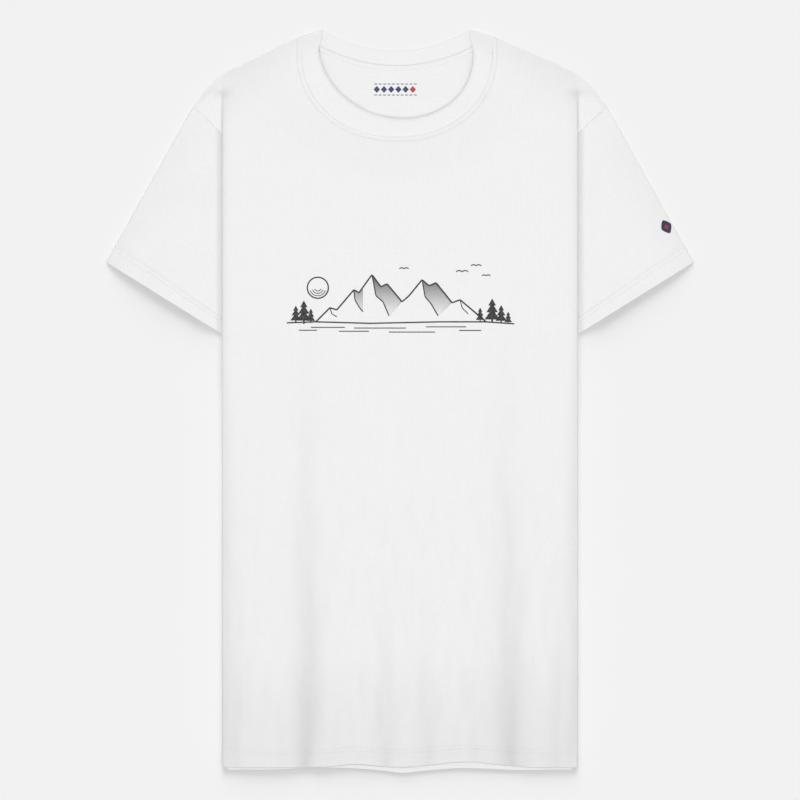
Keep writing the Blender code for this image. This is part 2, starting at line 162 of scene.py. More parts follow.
ROUND_CENTRE, ROUND_START_X, ROUND_END_X = shoulder_corner()


def shoulder_y(x):
    """Height of the outline over |x|: neck fold, shoulder, rounded corner, sleeve's top edge."""
    x = np.abs(x)
    neck_slope = (NECK_FOLD_POINT[1] - NECK_POINT[1]) / (NECK_POINT[0] - NECK_FOLD_POINT[0])
    neck = NECK_POINT[1] + (NECK_POINT[0] - x) * neck_slope
    shoulder = NECK_POINT[1] - (x - NECK_POINT[0]) * math.tan(SHOULDER_SLOPE)
    reach = np.clip(x - ROUND_CENTRE[0], -SHOULDER_RADIUS, SHOULDER_RADIUS)
    rounded = ROUND_CENTRE[1] + np.sqrt(SHOULDER_RADIUS ** 2 - reach ** 2)
    sleeve = SLEEVE_TIP[1] + (SLEEVE_TIP[0] - x) * math.tan(SLEEVE_SLOPE)
    return np.select([x < NECK_POINT[0], x < ROUND_START_X, x < ROUND_END_X],
                     [neck, shoulder, rounded], sleeve)


def seam_x(y):
    """Half width of the turned-under cloth's inner edge: side seam, then the armhole seam."""
    return np.interp(y, (UNDERARM_Y, CREASE_TOP_Y, SLEEVE_TOP[1]),
                     (SIDE_SEAM_X, CREASE_X, SLEEVE_TOP[0]))


def side_of_line(x, y, start, end):
    """Distance of (|x|, y) from the line through start and end, positive on its left."""
    run = np.subtract(end, start)
    return (run[0] * (y - start[1]) - run[1] * (np.abs(x) - start[0])) / math.hypot(*run)


def sleeve_under(x, y):
    """1 where a sleeve lies under the body, falling to 0 past its hem and its seam."""
    to_hem = side_of_line(x, y, SLEEVE_INNER, SLEEVE_TIP)
    to_seam = -side_of_line(x, y, SLEEVE_INNER, (SIDE_SEAM_X, UNDERARM_Y))
    return smooth((np.minimum(to_hem, to_seam) + 90.0) / 70.0)


def side_level(x, y):
    """Height of the turned-under front half, over the sleeve or on the floor."""
    return FLOOR_LEVEL + 2 * PITCH * sleeve_under(x, y)


# %% [markdown]
# ## Collar lines
# A crew-neck collar is a band of rib, about 18 mm wide, sewn round the neck hole. Seen from above
# both its edges are rounded U shapes. A super-ellipse gives such a U with three numbers, and one
# more function says how far a point lies outside the seam, which places the seam's dip and stitches.

# %% U shapes and the distance from the collar's seam
RIB_SEAM = (94.7, 84.0, 347.5)
RIB_POWER = 2.12
RIB_FREE = (77.5, 69.0, 350.0)
RIB_LEAN = 0.1
RIB_LEAN_X = -1.2
BACK_FREE_SAG = 21.0
BACK_SEAM_SAG = 31.0
COLLAR_STITCH = 5.0
NECK_SHIFT = -3.0


def u_line(turn, half_width, depth, centre_y, power):
    """Super-ellipse U: turn runs from -1 at its left side over 0 at the bottom to 1."""
    angle = np.abs(turn) * math.pi / 2
    x = np.sign(turn) * half_width * np.sin(angle) ** (2 / power)
    y = centre_y - depth * np.maximum(np.cos(angle), 0.0) ** (2 / power)
    return x, y


def collar_distance(x, y):
    """About how far a point lies outside the collar's seam, in mm, from the U's own formula."""
    half_width, depth, centre_y = RIB_SEAM
    drop = np.maximum(centre_y - y, 0.0) / depth
    size = ((np.abs(x) / half_width) ** RIB_POWER + drop ** RIB_POWER) ** (1 / RIB_POWER)
    return (size - 1.0) * (half_width + depth) / 2


def back_seam_y(x):
    """Sewn edge of the back rib: a shallow arc between the neck points."""
    return NECK_POINT[1] - BACK_SEAM_SAG * (1.0 - (x / NECK_POINT[0]) ** 2)


# %% [markdown]
# ## Height of the front
# The front is loose cloth over a flat stack. It stands proud of the stack in the middle and falls to
# it at the two creases, like a low cushion. Long folds run down from the chest and deepen to the
# hem. Each is a soft V: steep close to its line and fading away from it, which is how a fold looks
# where cloth bends tightly in one place. Both the folds and the fall at the crease are hyperbolic
# tangents, because a tanh starts with one slope and levels off by itself.

# %% Front folds and the front's height
PLATEAU = 10.6
CHEST_SINK = 3.0
BILLOW = 4.0
UNEVEN = 0.35
STACK_SPARE = 0.15
SHOULDER_TAPER = 60.0
SHOULDER_POWER = 2.3
EDGE_LEVEL = FLOOR_LEVEL + 0.75
EDGE_ROUND = 9.0
DIMPLE_Y = 307.0
DIMPLE_DEPTH = 1.6
DIMPLE_WIDTH = 8.0
NECK_SINK = 4.8
CREASE_STEEP = 0.66
CREASE_STEEPER = 0.1
CREASE_FOLD_FREE = 22.0

# x at the hem, drift of x to the chest, depth at the hem, width, y where the fold begins
FRONT_FOLDS = (
    (-93.5, 1.0, 10.0, 15.0, 190.0),
    (-16.0, 4.0, 6.0, 11.0, -60.0),
    (27.0, -6.0, 5.6, 13.0, -120.0),
    (112.0, -8.0, 9.8, 20.0, 170.0),
    (-62.0, 0.0, 1.4, 12.0, -200.0),
    (72.0, 6.0, 2.4, 12.0, -160.0),
    (-164.0, 0.0, 4.0, 10.0, -40.0),
    (158.0, 0.0, 5.0, 13.0, -40.0),
)
FOLD_ROUND = 2.0
FOLD_GROWTH = 1.25
FOLD_SWAY = 1.5
FOLD_SWAY_LENGTH = 47.0
# Shade painted into the front's colour: in folds, in the crease's dimple, towards the hem and the creases,
# and in faint streaks.
FOLD_SHADE = 0.0054
FOLD_SHADE_POWER = 1.5
DIMPLE_SHADE = 0.13
HEM_SHADE = 0.05
EDGE_SHADE = 0.035
STREAK_SHADE = 0.009
STREAK_WIDTH = 15.0
STREAK_STRETCH = 0.2


def fold_depth(x, y):
    """Depth of all folds: depth times 1 - tanh(distance / width), growing towards the hem."""
    total = np.zeros(np.broadcast(x, y).shape)
    for fold_x, drift, depth, width, begin_y in FRONT_FOLDS:
        down = np.clip((begin_y - y) / (begin_y - HEM_FRONT_Y), 0.0, 1.0)
        line_x = fold_x + drift * (1.0 - down) + FOLD_SWAY * np.sin(y / FOLD_SWAY_LENGTH + fold_x)
        away = np.sqrt((x - line_x) ** 2 + FOLD_ROUND ** 2) - FOLD_ROUND
        total = total + depth * down ** FOLD_GROWTH * (1.0 - np.tanh(away / width))
    return total


def front_level(x, y):
    """Height of the front cloth: stack, then a tanh rise to the plateau, less the folds."""
    inside = np.maximum(CREASE_X - np.abs(x), 0.0)
    stack = FLOOR_LEVEL + 3 * PITCH + STACK_SPARE + 2 * PITCH * sleeve_under(CREASE_X, y)
    lift = 2 * PITCH * sleeve_under(x, y) * smooth((np.abs(x) - 90.0) / 60.0)
    billow = BILLOW * smooth((-40.0 - y) / 250.0)
    upper = smooth((y + 60.0) / 140.0)
    uneven = UNEVEN * ripple(x, y, 95.0, 3)
    plateau = FLOOR_LEVEL + PLATEAU - CHEST_SINK * upper + lift + billow + uneven
    steep = CREASE_STEEP + CREASE_STEEPER * upper
    rise = plateau - stack
    level = stack + rise * np.tanh(steep * inside / rise)
    level = level - fold_depth(x, y) * np.tanh(inside / CREASE_FOLD_FREE)
    level = level - DIMPLE_DEPTH * bell((inside - 3.0) / DIMPLE_WIDTH) * bell((y - DIMPLE_Y) / DIMPLE_WIDTH)
    from_edge = (shoulder_y(x) - y) / SHOULDER_TAPER
    level = level - NECK_SINK * smooth((50.0 - collar_distance(x, y)) / 60.0) * smooth(from_edge)
    share = np.clip(from_edge, 0.0, 1.0)
    return blend(EDGE_LEVEL, level, 1.0 - (1.0 - share) ** SHOULDER_POWER)


def front_shade(x, y):
    """Painted shade on the front: folds by depth^1.5, the crease's dimple, darker to hem and creases,
    streaks.
    """
    dimple = DIMPLE_SHADE * bell((np.abs(x) - CREASE_X) / 9.0) * bell((y - DIMPLE_Y) / 4.5)
    low = HEM_SHADE * smooth((-230.0 - y) / 110.0)
    edge = EDGE_SHADE * bell((CREASE_X - np.abs(x)) / 11.0) * smooth((60.0 - y) / 220.0)
    streaks = ripple(x, y * STREAK_STRETCH, STREAK_WIDTH, 23, 12)
    streaks = STREAK_SHADE * np.maximum(streaks, -1.0) * smooth((140.0 - y) / 300.0)
    folds = FOLD_SHADE * fold_depth(x, y) ** FOLD_SHADE_POWER
    return np.maximum(folds + dimple + low + edge + streaks, 0.0)


def wing_level(x, y):
    """Height of the front cloth outside the crease, between the shoulder and the armhole."""
    return blend(EDGE_LEVEL, FLOOR_LEVEL + 2 * PITCH, smooth((shoulder_y(x) - y) / EDGE_ROUND))


# %% [markdown]
# ## Hem lines and stitched details
# The bottom hem is cloth turned up about 18 mm and held by two rows of coverstitch. The rows press
# the cloth down in two fine grooves with small puckers between them. Along its edge the laid hem
# waves a few millimetres, because the folds use up cloth. The same function serves every hem. The
# hem rests near the stack under it, so the front settles towards that height over its last 70 mm.

# %% Hem relief, hem waves and the plan of the laid cloth
HEM_STITCHES = (13.4, 17.8)
HEM_DEPTH = 18.6
HEM_REST_INNER = 4.2
HEM_REST_OUTER = 4.4
HEM_REST_SPARE = 0.12
GROOVE_DEPTH = 0.34
GROOVE_WIDTH = 0.85
PUCKER_DEPTH = 0.13
PUCKER_PITCH = 6.4
DOUBLE_RISE = 0.3
DOUBLE_STEP = 1.4
ROLL_DROP = 0.3
ROLL_WIDTH = 1.5
CORNER_ROUND = 2.0
CORNER_WIDTH = 3.5
FRONT_HEM_SEED = 11
BACK_HEM_SEED = 31
SLEEVE_HEM_SEED = 41
NECK_SEAM_DEPTH = 0.55
NECK_STITCH_DEPTH = 0.5
UNDER_RIB_DEPTH = 0.7
NECK_PUCKER_DEPTH = 0.14
NECK_PUCKER_PITCH = 7.5
NECK_RADIUS = 95.0

# x, lift of the hem there, and width of the wave
FRONT_WAVES = ((-44.0, 3.4, 24.0), (66.0, 5.8, 38.0))
BACK_WAVES = ((-64.0, 4.0, 46.0), (2.0, -1.8, 14.0), (62.0, 3.6, 34.0))


def hem_press(along, inside, seed):
    """How far stitching presses a hem in: two bell-shaped grooves and puckers between them."""
    grooves = sum(bell((inside - row) / GROOVE_WIDTH) for row in HEM_STITCHES)
    wobble = 1.0 + 0.5 * ripple(along, inside * 0.0, 38.0, seed)
    drift = 2.0 * ripple(along, inside * 0.0, 60.0, seed + 1)
    puckers = np.sin(2 * math.pi * along / PUCKER_PITCH + drift)
    around = bell((inside - np.mean(HEM_STITCHES)) / 6.5)
    return GROOVE_DEPTH * grooves - PUCKER_DEPTH * puckers * wobble * around


def hem_relief(along, inside, seed):
    """Relief of a hem: double cloth up to HEM_DEPTH, less the stitches' press and a rolled edge."""
    double = DOUBLE_RISE * (1.0 - smooth((inside - HEM_DEPTH) / DOUBLE_STEP))
    roll = ROLL_DROP * np.clip(1.0 - inside / ROLL_WIDTH, 0.0, 1.0) ** 2
    return double - hem_press(along, inside, seed) - roll


def front_hem_wave(x):
    """Shift of the front hem's edge along Y."""
    return -1.3 + sum(lift * bell((x - at) / width) for at, lift, width in FRONT_WAVES)


def back_hem_wave(x):
    """Shift of the back hem's edge along Y."""
    sides = 1.5 * smooth((np.abs(x) - 60.0) / 45.0) + 0.6 * smooth((np.abs(x) - 130.0) / 20.0)
    return sides - 1.5 + sum(lift * bell((x - at) / width) for at, lift, width in BACK_WAVES)


def lay(x, y, hem_y, wave, edge_x=CREASE_X):
    """Plan of a point as laid: the collar leans to one side, the hem waves, its corners round."""
    inside = y - hem_y
    lean = NECK_SHIFT * smooth((y - 200.0) / 80.0) * (1.0 - smooth((np.abs(x) - 105.0) / 55.0))
    corner = CORNER_ROUND * np.clip(1.0 - (edge_x - np.abs(x)) / CORNER_WIDTH, 0.0, 1.0) ** 2
    moved = wave(x) * (1.0 - smooth(inside / 60.0)) + corner * (1.0 - smooth(inside / 14.0))
    return x + lean, y + moved


def front_height(x, y):
    """Height of the front cloth with its hem, its collar seam and fine unevenness."""
    inside = y - HEM_FRONT_Y
    level = front_level(x, y)
    rest = blend(HEM_REST_INNER, HEM_REST_OUTER, smooth((np.abs(x) - 80.0) / 45.0))
    settled = blend(rest, level, HEM_REST_SPARE)
    share = 0.5 * (1.0 - smooth(inside / 70.0)) + 0.44 * (1.0 - smooth(inside / 22.0))
    level = blend(level, settled, share) + hem_relief(x, inside, FRONT_HEM_SEED)
    away = collar_distance(x, y)
    stitched = NECK_STITCH_DEPTH * bell((away - COLLAR_STITCH) / 0.8)
    seam = -NECK_SEAM_DEPTH * bell(away / 1.3) - stitched
    under_rib = -UNDER_RIB_DEPTH * smooth(-away / 3.0)
    turns = np.arctan2(x, RIB_SEAM[2] - y) * NECK_RADIUS / NECK_PUCKER_PITCH
    puckers = NECK_PUCKER_DEPTH * np.sin(2 * math.pi * turns) * bell((away - COLLAR_STITCH) / 5.0)
    fine = 0.05 * ripple(x, y, 17.0, 21)
    return level + seam + under_rib + puckers + fine


def front_point(x, y):
    """Point of the front cloth for a place (x, y) on the flat pattern."""
    laid_x, laid_y = lay(x, y, HEM_FRONT_Y, front_hem_wave)
    return np.stack((laid_x, laid_y, front_height(x, y)), axis=-1)


# %% [markdown]
# ## Turning grids into cloth
# Every cloth is one grid of points. Its faces are quads between neighbours, and its UV map, named
# cloth, holds each point's place on the flat pattern in metres. A knit pattern drawn in those
# coordinates follows the cloth round folds, as real wales do. Solidify then gives both faces.

# %% Grid meshes, thickness and the join to the frame
ALL_PIECES = []

# a quad's corners taken the other way round, which turns its face over
OTHER_WAY = [0, 3, 2, 1]


def quads_of(index):
    """Corner numbers of the quads between the neighbours of a grid of point numbers."""
    corners = (index[:-1, :-1], index[:-1, 1:], index[1:, 1:], index[1:, :-1])
    return np.stack(corners, axis=-1).reshape(-1, 4)


def cloth_mesh(name, points, faces, uvs, shade=None):
    """Mesh of points in mm, a UV map named cloth from places in mm, and each point's shade."""
    mesh = bpy.data.meshes.new(name)
    mesh.from_pydata((points.reshape(-1, 3) * MM).tolist(), [], faces)
    layer = mesh.uv_layers.new(name="cloth")
    layer.uv.foreach_set("vector", (uvs * MM).astype(np.float32).ravel())
    if shade is not None:
        values = mesh.attributes.new("shade", "FLOAT", "POINT")
        values.data.foreach_set("value", shade.astype(np.float32).ravel())
    mesh.update()
    return mesh


def grid_mesh(name, points, flat, closed=False, shade=None, ring=False):
    """Cloth over a grid (rows, columns, 3); closed joins its last column to its first, ring its rows."""
    rows, columns, _ = points.shape
    index = np.arange(rows * columns).reshape(rows, columns)
    if closed:
        index = np.hstack((index, index[:, :1]))
    if ring:
        index = np.vstack((index, index[:1]))
        flat = np.vstack((flat, flat[:1]))
    corners = quads_of(np.arange(flat.shape[0] * flat.shape[1]).reshape(flat.shape[:2]))
    uvs = flat.reshape(-1, 2)[corners].reshape(-1, 2)
    return cloth_mesh(name, points, quads_of(index).tolist(), uvs, shade)


def add_piece(mesh, material, body="root"):
    """Object at the origin, named as its mesh, that has a material and rides on the shirt's body."""
    piece = bpy.data.objects.new(mesh.name, mesh)
    bpy.context.scene.collection.objects.link(piece)
    mesh.materials.append(material)
    mesh.shade_smooth()
    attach(piece, body)
    ALL_PIECES.append(piece)
    return piece


def thicken(piece, thickness, hem_points=None, hem_thickness=None):
    """Cloth thickness to both sides, and a larger one at the points of a turned hem."""
    solid = piece.modifiers.new("Cloth thickness", "SOLIDIFY")
    solid.thickness = thickness * MM
    solid.offset = 0.0
    if hem_points is not None:
        group = piece.vertex_groups.new(name="hem")
        group.add(np.flatnonzero(hem_points).tolist(), 1.0, "REPLACE")
        solid.vertex_group = "hem"
        solid.thickness = hem_thickness * MM
        solid.thickness_vertex_group = thickness / hem_thickness
    return solid


def turn_outward(mesh):
    """Flips a closed mesh whose signed volume is negative, so that its faces look outwards."""
    points = np.empty(len(mesh.vertices) * 3)
    mesh.vertices.foreach_get("co", points)
    points = points.reshape(-1, 3)
    mesh.calc_loop_triangles()
    corners = np.empty(len(mesh.loop_triangles) * 3, dtype=np.int32)
    mesh.loop_triangles.foreach_get("vertices", corners)
    a, b, c = (points[corners.reshape(-1, 3)[:, axis]] for axis in range(3))
    if (a * np.cross(b, c)).sum() < 0:
        mesh.flip_normals()
    return mesh


# %% [markdown]
# ## Colours and one way to add nodes
# Colours are written as sRGB hex values, the way a dye house or a screen gives them. Blender works in
# linear light, so one function converts them. A second function adds any shader node with its
# settings and its links in one call, and short ones for sums, ranges and mixes stand on it. They keep
# each material short enough to read.

# %% Colour conversion and the node helpers
def colour(hex_value):
    """Linear RGBA of an sRGB hex colour: each channel c becomes ((c + 0.055) / 1.055)^2.4."""
    srgb = np.array([int(hex_value[i:i + 2], 16) for i in (1, 3, 5)]) / 255
    linear = np.where(srgb <= 0.04045, srgb / 12.92, ((srgb + 0.055) / 1.055) ** 2.4)
    return (*linear.tolist(), 1.0)


def add_node(tree, kind, links=None, inputs=None, **settings):
    """New node of a kind; links maps its inputs to other nodes' sockets, inputs to values."""
    made = tree.nodes.new(kind)
    for name, value in settings.items():
        setattr(made, name, value)
    for name, value in (inputs or {}).items():
        made.inputs[name].default_value = value
    for name, socket in (links or {}).items():
        tree.links.new(socket, made.inputs[name])
    return made


def linked_or_set(terms):
    """Splits a node's inputs into those that take a socket and those that take a value."""
    links = {key: term for key, term in terms.items() if isinstance(term, bpy.types.NodeSocket)}
    values = {key: term for key, term in terms.items() if key not in links}
    return links, values


def calculate(tree, operation, *terms):
    """Socket of a math node on one or two terms, each a socket or a number."""
    links, values = linked_or_set(dict(enumerate(terms)))
    return add_node(tree, "ShaderNodeMath", links, values, operation=operation).outputs[0]


def mapped(tree, value, low, high, least=0.0, most=1.0):
    """Socket that maps a value's range from low to high on to least to most, and no further."""
    limits = {"From Min": low, "From Max": high, "To Min": least, "To Max": most}
    return add_node(tree, "ShaderNodeMapRange", {"Value": value}, limits).outputs[0]


def mixed_colour(tree, share, first, second, **settings):
    """Socket of a mix of two colours by a share; each of the three is a socket or a value."""
    links, values = linked_or_set({0: share, 6: first, 7: second})
    return add_node(tree, "ShaderNodeMix", links, values, data_type="RGBA", **settings).outputs[2]


def cloth_place(tree):
    """Sockets of a point's place on the flat pattern: the whole vector, its X and its Y."""
    place = add_node(tree, "ShaderNodeUVMap", uv_map="cloth").outputs["UV"]
    parts = add_node(tree, "ShaderNodeSeparateXYZ", {"Vector": place})
    return place, parts.outputs["X"], parts.outputs["Y"]


def noise(tree, place, scale, detail=2.0, roughness=0.5):
    """Socket of a noise of about 0 to 1 at a place."""
    values = {"Scale": scale, "Detail": detail, "Roughness": roughness}
    return add_node(tree, "ShaderNodeTexNoise", {"Vector": place}, values).outputs["Fac"]


def bumped(tree, height, strength, distance_mm):
    """Socket of the normal that a relief of the given depth gives."""
    values = {"Strength": strength, "Distance": distance_mm * MM}
    return add_node(tree, "ShaderNodeBump", {"Height": height}, values).outputs["Normal"]


def new_material(name):
    """Empty node material: returns it and its node tree."""
    material = bpy.data.materials.new(name)
    material.use_nodes = True
    return material, material.node_tree


def finish_shader(tree, base, normal=None, **values):
    """Links colour and normal to the Principled shader and sets its other inputs by their names."""
    shader = tree.nodes["Principled BSDF"]
    tree.links.new(base, shader.inputs["Base Color"])
    if normal:
        tree.links.new(normal, shader.inputs["Normal"])
    for name, value in values.items():
        shader.inputs[name.replace("_", " ")].default_value = value


# %% [markdown]
# ## White single jersey
# Jersey is weft-knitted from a fine cotton yarn. Its face shows upright columns of loops, the wales,
# about 0.7 mm apart, crossed by the courses. The yarn is slightly uneven, so the cloth looks faintly
# mottled, and loose fibre ends give it a soft, matt look with a little sheen at glancing angles. The
# wales are drawn 1.5 mm apart, twice as coarse as real ones, because finer ones can't show here.
# A sine across the UV map makes the wales, a second one along them the loops, and noise the yarn.
# White cloth passes light on from side to side inside a fold, so a shallow fold hardly darkens. The
# photographed folds are greyer than that, so each point may carry a value named shade, the share of
# shadow that gathers there, and the material darkens its colour by it. The front's own jersey also
# has the two fine grooves of the neck seam and its stitching, worked out from the collar's U.

# %% Jersey material
WALE_MM = 1.5
COURSE_MM = 1.3
JERSEY_WHITE = colour("#ebebeb")
JERSEY_SHADE = colour("#e7e7e7")
# Black towards which painted shade darkens the cloth's colour.
PAINTED_SHADE_BLACK = colour("#000000")
KNIT_LOOK = {"Roughness": 0.9, "IOR": 1.45, "Specular_IOR_Level": 0.25, "Sheen_Weight": 0.08,
             "Sheen_Roughness": 0.5}
NECKLINE_SHADE = 0.065
NECKLINE_RELIEF = 2.5


def wave_across(tree, coordinate, pitch_mm, phase=0.0):
    """Sine of a coordinate in metres with the given pitch, shifted by a phase."""
    turns = calculate(tree, "MULTIPLY", coordinate, 2 * math.pi / (pitch_mm * MM))
    return calculate(tree, "SINE", calculate(tree, "ADD", turns, phase))


def bell_of(tree, value, centre, width):
    """Bell curve of a socket: e to the power of minus ((value - centre) / width)^2."""
    off = calculate(tree, "DIVIDE", calculate(tree, "SUBTRACT", value, centre), width)
    squared = calculate(tree, "MULTIPLY", off, off)
    return calculate(tree, "EXPONENT", calculate(tree, "MULTIPLY", squared, -1.0))


def neckline_grooves(tree, x, y):
    """Depth from 0 to 1 of the collar's seam and stitched line, by collar_distance as nodes."""
    half_width, depth, centre_y = (length * MM for length in RIB_SEAM)
    over = calculate(tree, "DIVIDE", calculate(tree, "ABSOLUTE", x), half_width)
    drop = calculate(tree, "MAXIMUM", calculate(tree, "SUBTRACT", centre_y, y), 0.0)
    down = calculate(tree, "DIVIDE", drop, depth)
    powers = [calculate(tree, "POWER", part, RIB_POWER) for part in (over, down)]
    size = calculate(tree, "POWER", calculate(tree, "ADD", *powers), 1.0 / RIB_POWER)
    away = calculate(tree, "MULTIPLY", calculate(tree, "SUBTRACT", size, 1.0), (half_width + depth) / 2)
    seam = calculate(tree, "MULTIPLY", bell_of(tree, away, 0.4 * MM, 0.9 * MM), 0.35)
    return calculate(tree, "ADD", seam, bell_of(tree, away, COLLAR_STITCH * MM, 0.85 * MM))


def knit_material(name, light, dark, wale_mm, course_mm, relief_mm, mottle=0.15, neckline=False):
    """Knitted cotton: wales and courses as relief, uneven yarn as relief and colour, painted shade by each
    point's shade value.
    """
    material, tree = new_material(name)
    place, x, y = cloth_place(tree)
    yarn = noise(tree, place, 420.0, 4.0, 0.6)
    slub = noise(tree, place, 60.0, 3.0, 0.55)
    wales = wave_across(tree, x, wale_mm, calculate(tree, "MULTIPLY", slub, 4.0))
    courses = wave_across(tree, y, course_mm, yarn)
    knit = calculate(tree, "ADD", wales, calculate(tree, "MULTIPLY", courses, 0.35))
    relief = calculate(tree, "ADD", knit, calculate(tree, "MULTIPLY", yarn, 1.6))
    # Painted shade: each point's shade value darkens the colour towards black.
    painted_shade = add_node(tree, "ShaderNodeAttribute", attribute_name="shade").outputs["Fac"]
    # The neck seam and stitched line sink in relief and also darken in colour: painted shade in their
    # grooves.
    if neckline:
        grooves = neckline_grooves(tree, x, y)
        painted_shade = calculate(tree, "ADD", painted_shade, calculate(tree, "MULTIPLY", grooves, NECKLINE_SHADE))
        sunk = calculate(tree, "MULTIPLY", grooves, NECKLINE_RELIEF)
        relief = calculate(tree, "SUBTRACT", relief, sunk)
    patches = mapped(tree, slub, 0.35, 0.65, 0.0, mottle)
    grain = mapped(tree, yarn, 0.3, 0.7, 0.0, 1.0 - mottle)
    tint = mixed_colour(tree, calculate(tree, "ADD", patches, grain), light, dark)
    darkened = mixed_colour(tree, painted_shade, tint, PAINTED_SHADE_BLACK)
    finish_shader(tree, darkened, bumped(tree, relief, 0.5, relief_mm), **KNIT_LOOK)
    return material


jersey = knit_material("knitted cotton jersey", JERSEY_WHITE, JERSEY_SHADE, WALE_MM, COURSE_MM, 0.1)
front_jersey = knit_material("knitted cotton jersey with a stitched neckline", JERSEY_WHITE,
                             JERSEY_SHADE, WALE_MM, COURSE_MM, 0.1, neckline=True)
print("jersey wales drawn every", WALE_MM, "mm")


# %% [markdown]
# ## Front
# The front is one cloth from hem to shoulders. Its grid has straight upright columns low down that
# lean towards the neck and shoulder outline at the top, so that its last row follows that outline.
# At the creases each row turns over a half round. Near the shoulder there is no crease yet: the
# row steps down and runs out to the armhole seam instead, which leaves the small dimple where the
# crease begins. Each row past the crease is a path in X and Z, resampled evenly along its length.
# Smooth shading averages the cloth's direction with its rim's along every free edge. A row and a
# column 0.1 mm from the edge keep that average from darkening the cloth. The back uses the same
# kind of grid, so the functions for both stand here.

# %% Front grid
NECK_COLUMNS = 44
NECK_SIDE_COLUMNS = 8
SHOULDER_COLUMNS = 26
OUTER_COLUMNS = 12
FINE_ROW_MM = 0.8
FINE_ZONE_MM = 21.0
ROW_MM = 3.0
EDGE_ROW_MM = 0.1
LAST_COLUMN = 0.992
LEAN_POWER = 1.6
NECK_UNDER = (88.0, 77.0, 347.0)
FRONT_LEAN_FROM = 0.35
DRAWN_FROM_X = 120.0
TURN_STEPS = 25
REACH_STEPS = 9
SEAM_DIP = 0.6
HEM_SPARE = 0.22


def top_edge():
    """Points of the front's top edge: under the collar's U, up its side, then the shoulder."""
    neck_x, neck_y = u_line(np.linspace(0.0, 1.0, NECK_COLUMNS), *NECK_UNDER, RIB_POWER)
    side = np.linspace(0.0, 1.0, NECK_SIDE_COLUMNS + 1)[1:]
    join_x = NECK_POINT[0] - 1.0
    side_x = blend(NECK_UNDER[0], join_x, side)
    side_y = blend(NECK_UNDER[2], shoulder_y(join_x), side)
    out_x = np.linspace(join_x, CREASE_X - 0.03, SHOULDER_COLUMNS + 1)[1:]
    x = np.concatenate((neck_x, side_x, out_x))
    return x, np.concatenate((neck_y, side_y, shoulder_y(out_x)))


def row_places(height, row_mm):
    """Distances of the rows from the hem: fine over the hem, then even, and one close to each end."""
    fine = np.arange(FINE_ROW_MM, FINE_ZONE_MM, FINE_ROW_MM)
    even = np.linspace(FINE_ZONE_MM, height, int((height - FINE_ZONE_MM) / row_mm))
    return np.concatenate(((0.0, EDGE_ROW_MM), fine, even[:-1], (height - EDGE_ROW_MM, height)))


def leaning_grid(edge_x, edge_y, rows, lean_from):
    """Straight columns that lean, from a share of the height up, to a last row along an edge."""
    share = (rows / rows[-1])[:, None]
    straight = np.linspace(0.0, 1.0, len(edge_x)) * edge_x[-1]
    lean = share_of(share, lean_from, 1.0) ** LEAN_POWER
    return straight * (1.0 - lean) + edge_x * lean, (edge_y - edge_y[-1]) * share ** 3


def armhole_rows(row_y, corner_y):
    """How far each row has moved from the slant's start to the shoulder, and where it ends."""
    follow = np.maximum(row_y - SLANT_START_Y, 0.0) / (corner_y - SLANT_START_Y)
    return follow, row_y - follow * (corner_y - SLEEVE_TOP[1])


def both_halves(half):
    """Grids of the whole cloth from a function of one half: the left one mirrored, then the right."""
    return [np.concatenate((left[:, :0:-1], right), axis=1)
            for left, right in zip(half(-1.0), half(1.0))]


def resample(path_x, path_z, count):
    """Points spaced evenly along each row's path, one close to its end, and how far along they lie."""
    length = run_length(np.hypot(np.diff(path_x, axis=1), np.diff(path_z, axis=1)))
    wanted = length[:, -1:] * np.append(np.linspace(0.0, 1.0, count)[1:-1], (LAST_COLUMN, 1.0))
    xs = np.array([np.interp(w, along, x) for w, along, x in zip(wanted, length, path_x)])
    zs = np.array([np.interp(w, along, z) for w, along, z in zip(wanted, length, path_z)])
    return xs, zs, wanted


def crease_start(side, row_y, low):
    """Where each row begins to turn: slope there, radius of the turn and x, found in two passes."""
    x = np.full(row_y.shape, CREASE_X - 1.0)
    for _ in range(2):
        top = front_level(side * x, row_y)
        slope = np.arctan(np.maximum(front_level(side * (x - 2.0), row_y) - top, 0.0) / 2.0)
        radius = np.maximum((top - low) / (1.0 + np.cos(slope)), 0.05)
        x = CREASE_X - radius * (1.0 - np.sin(slope))
    return slope, radius, x


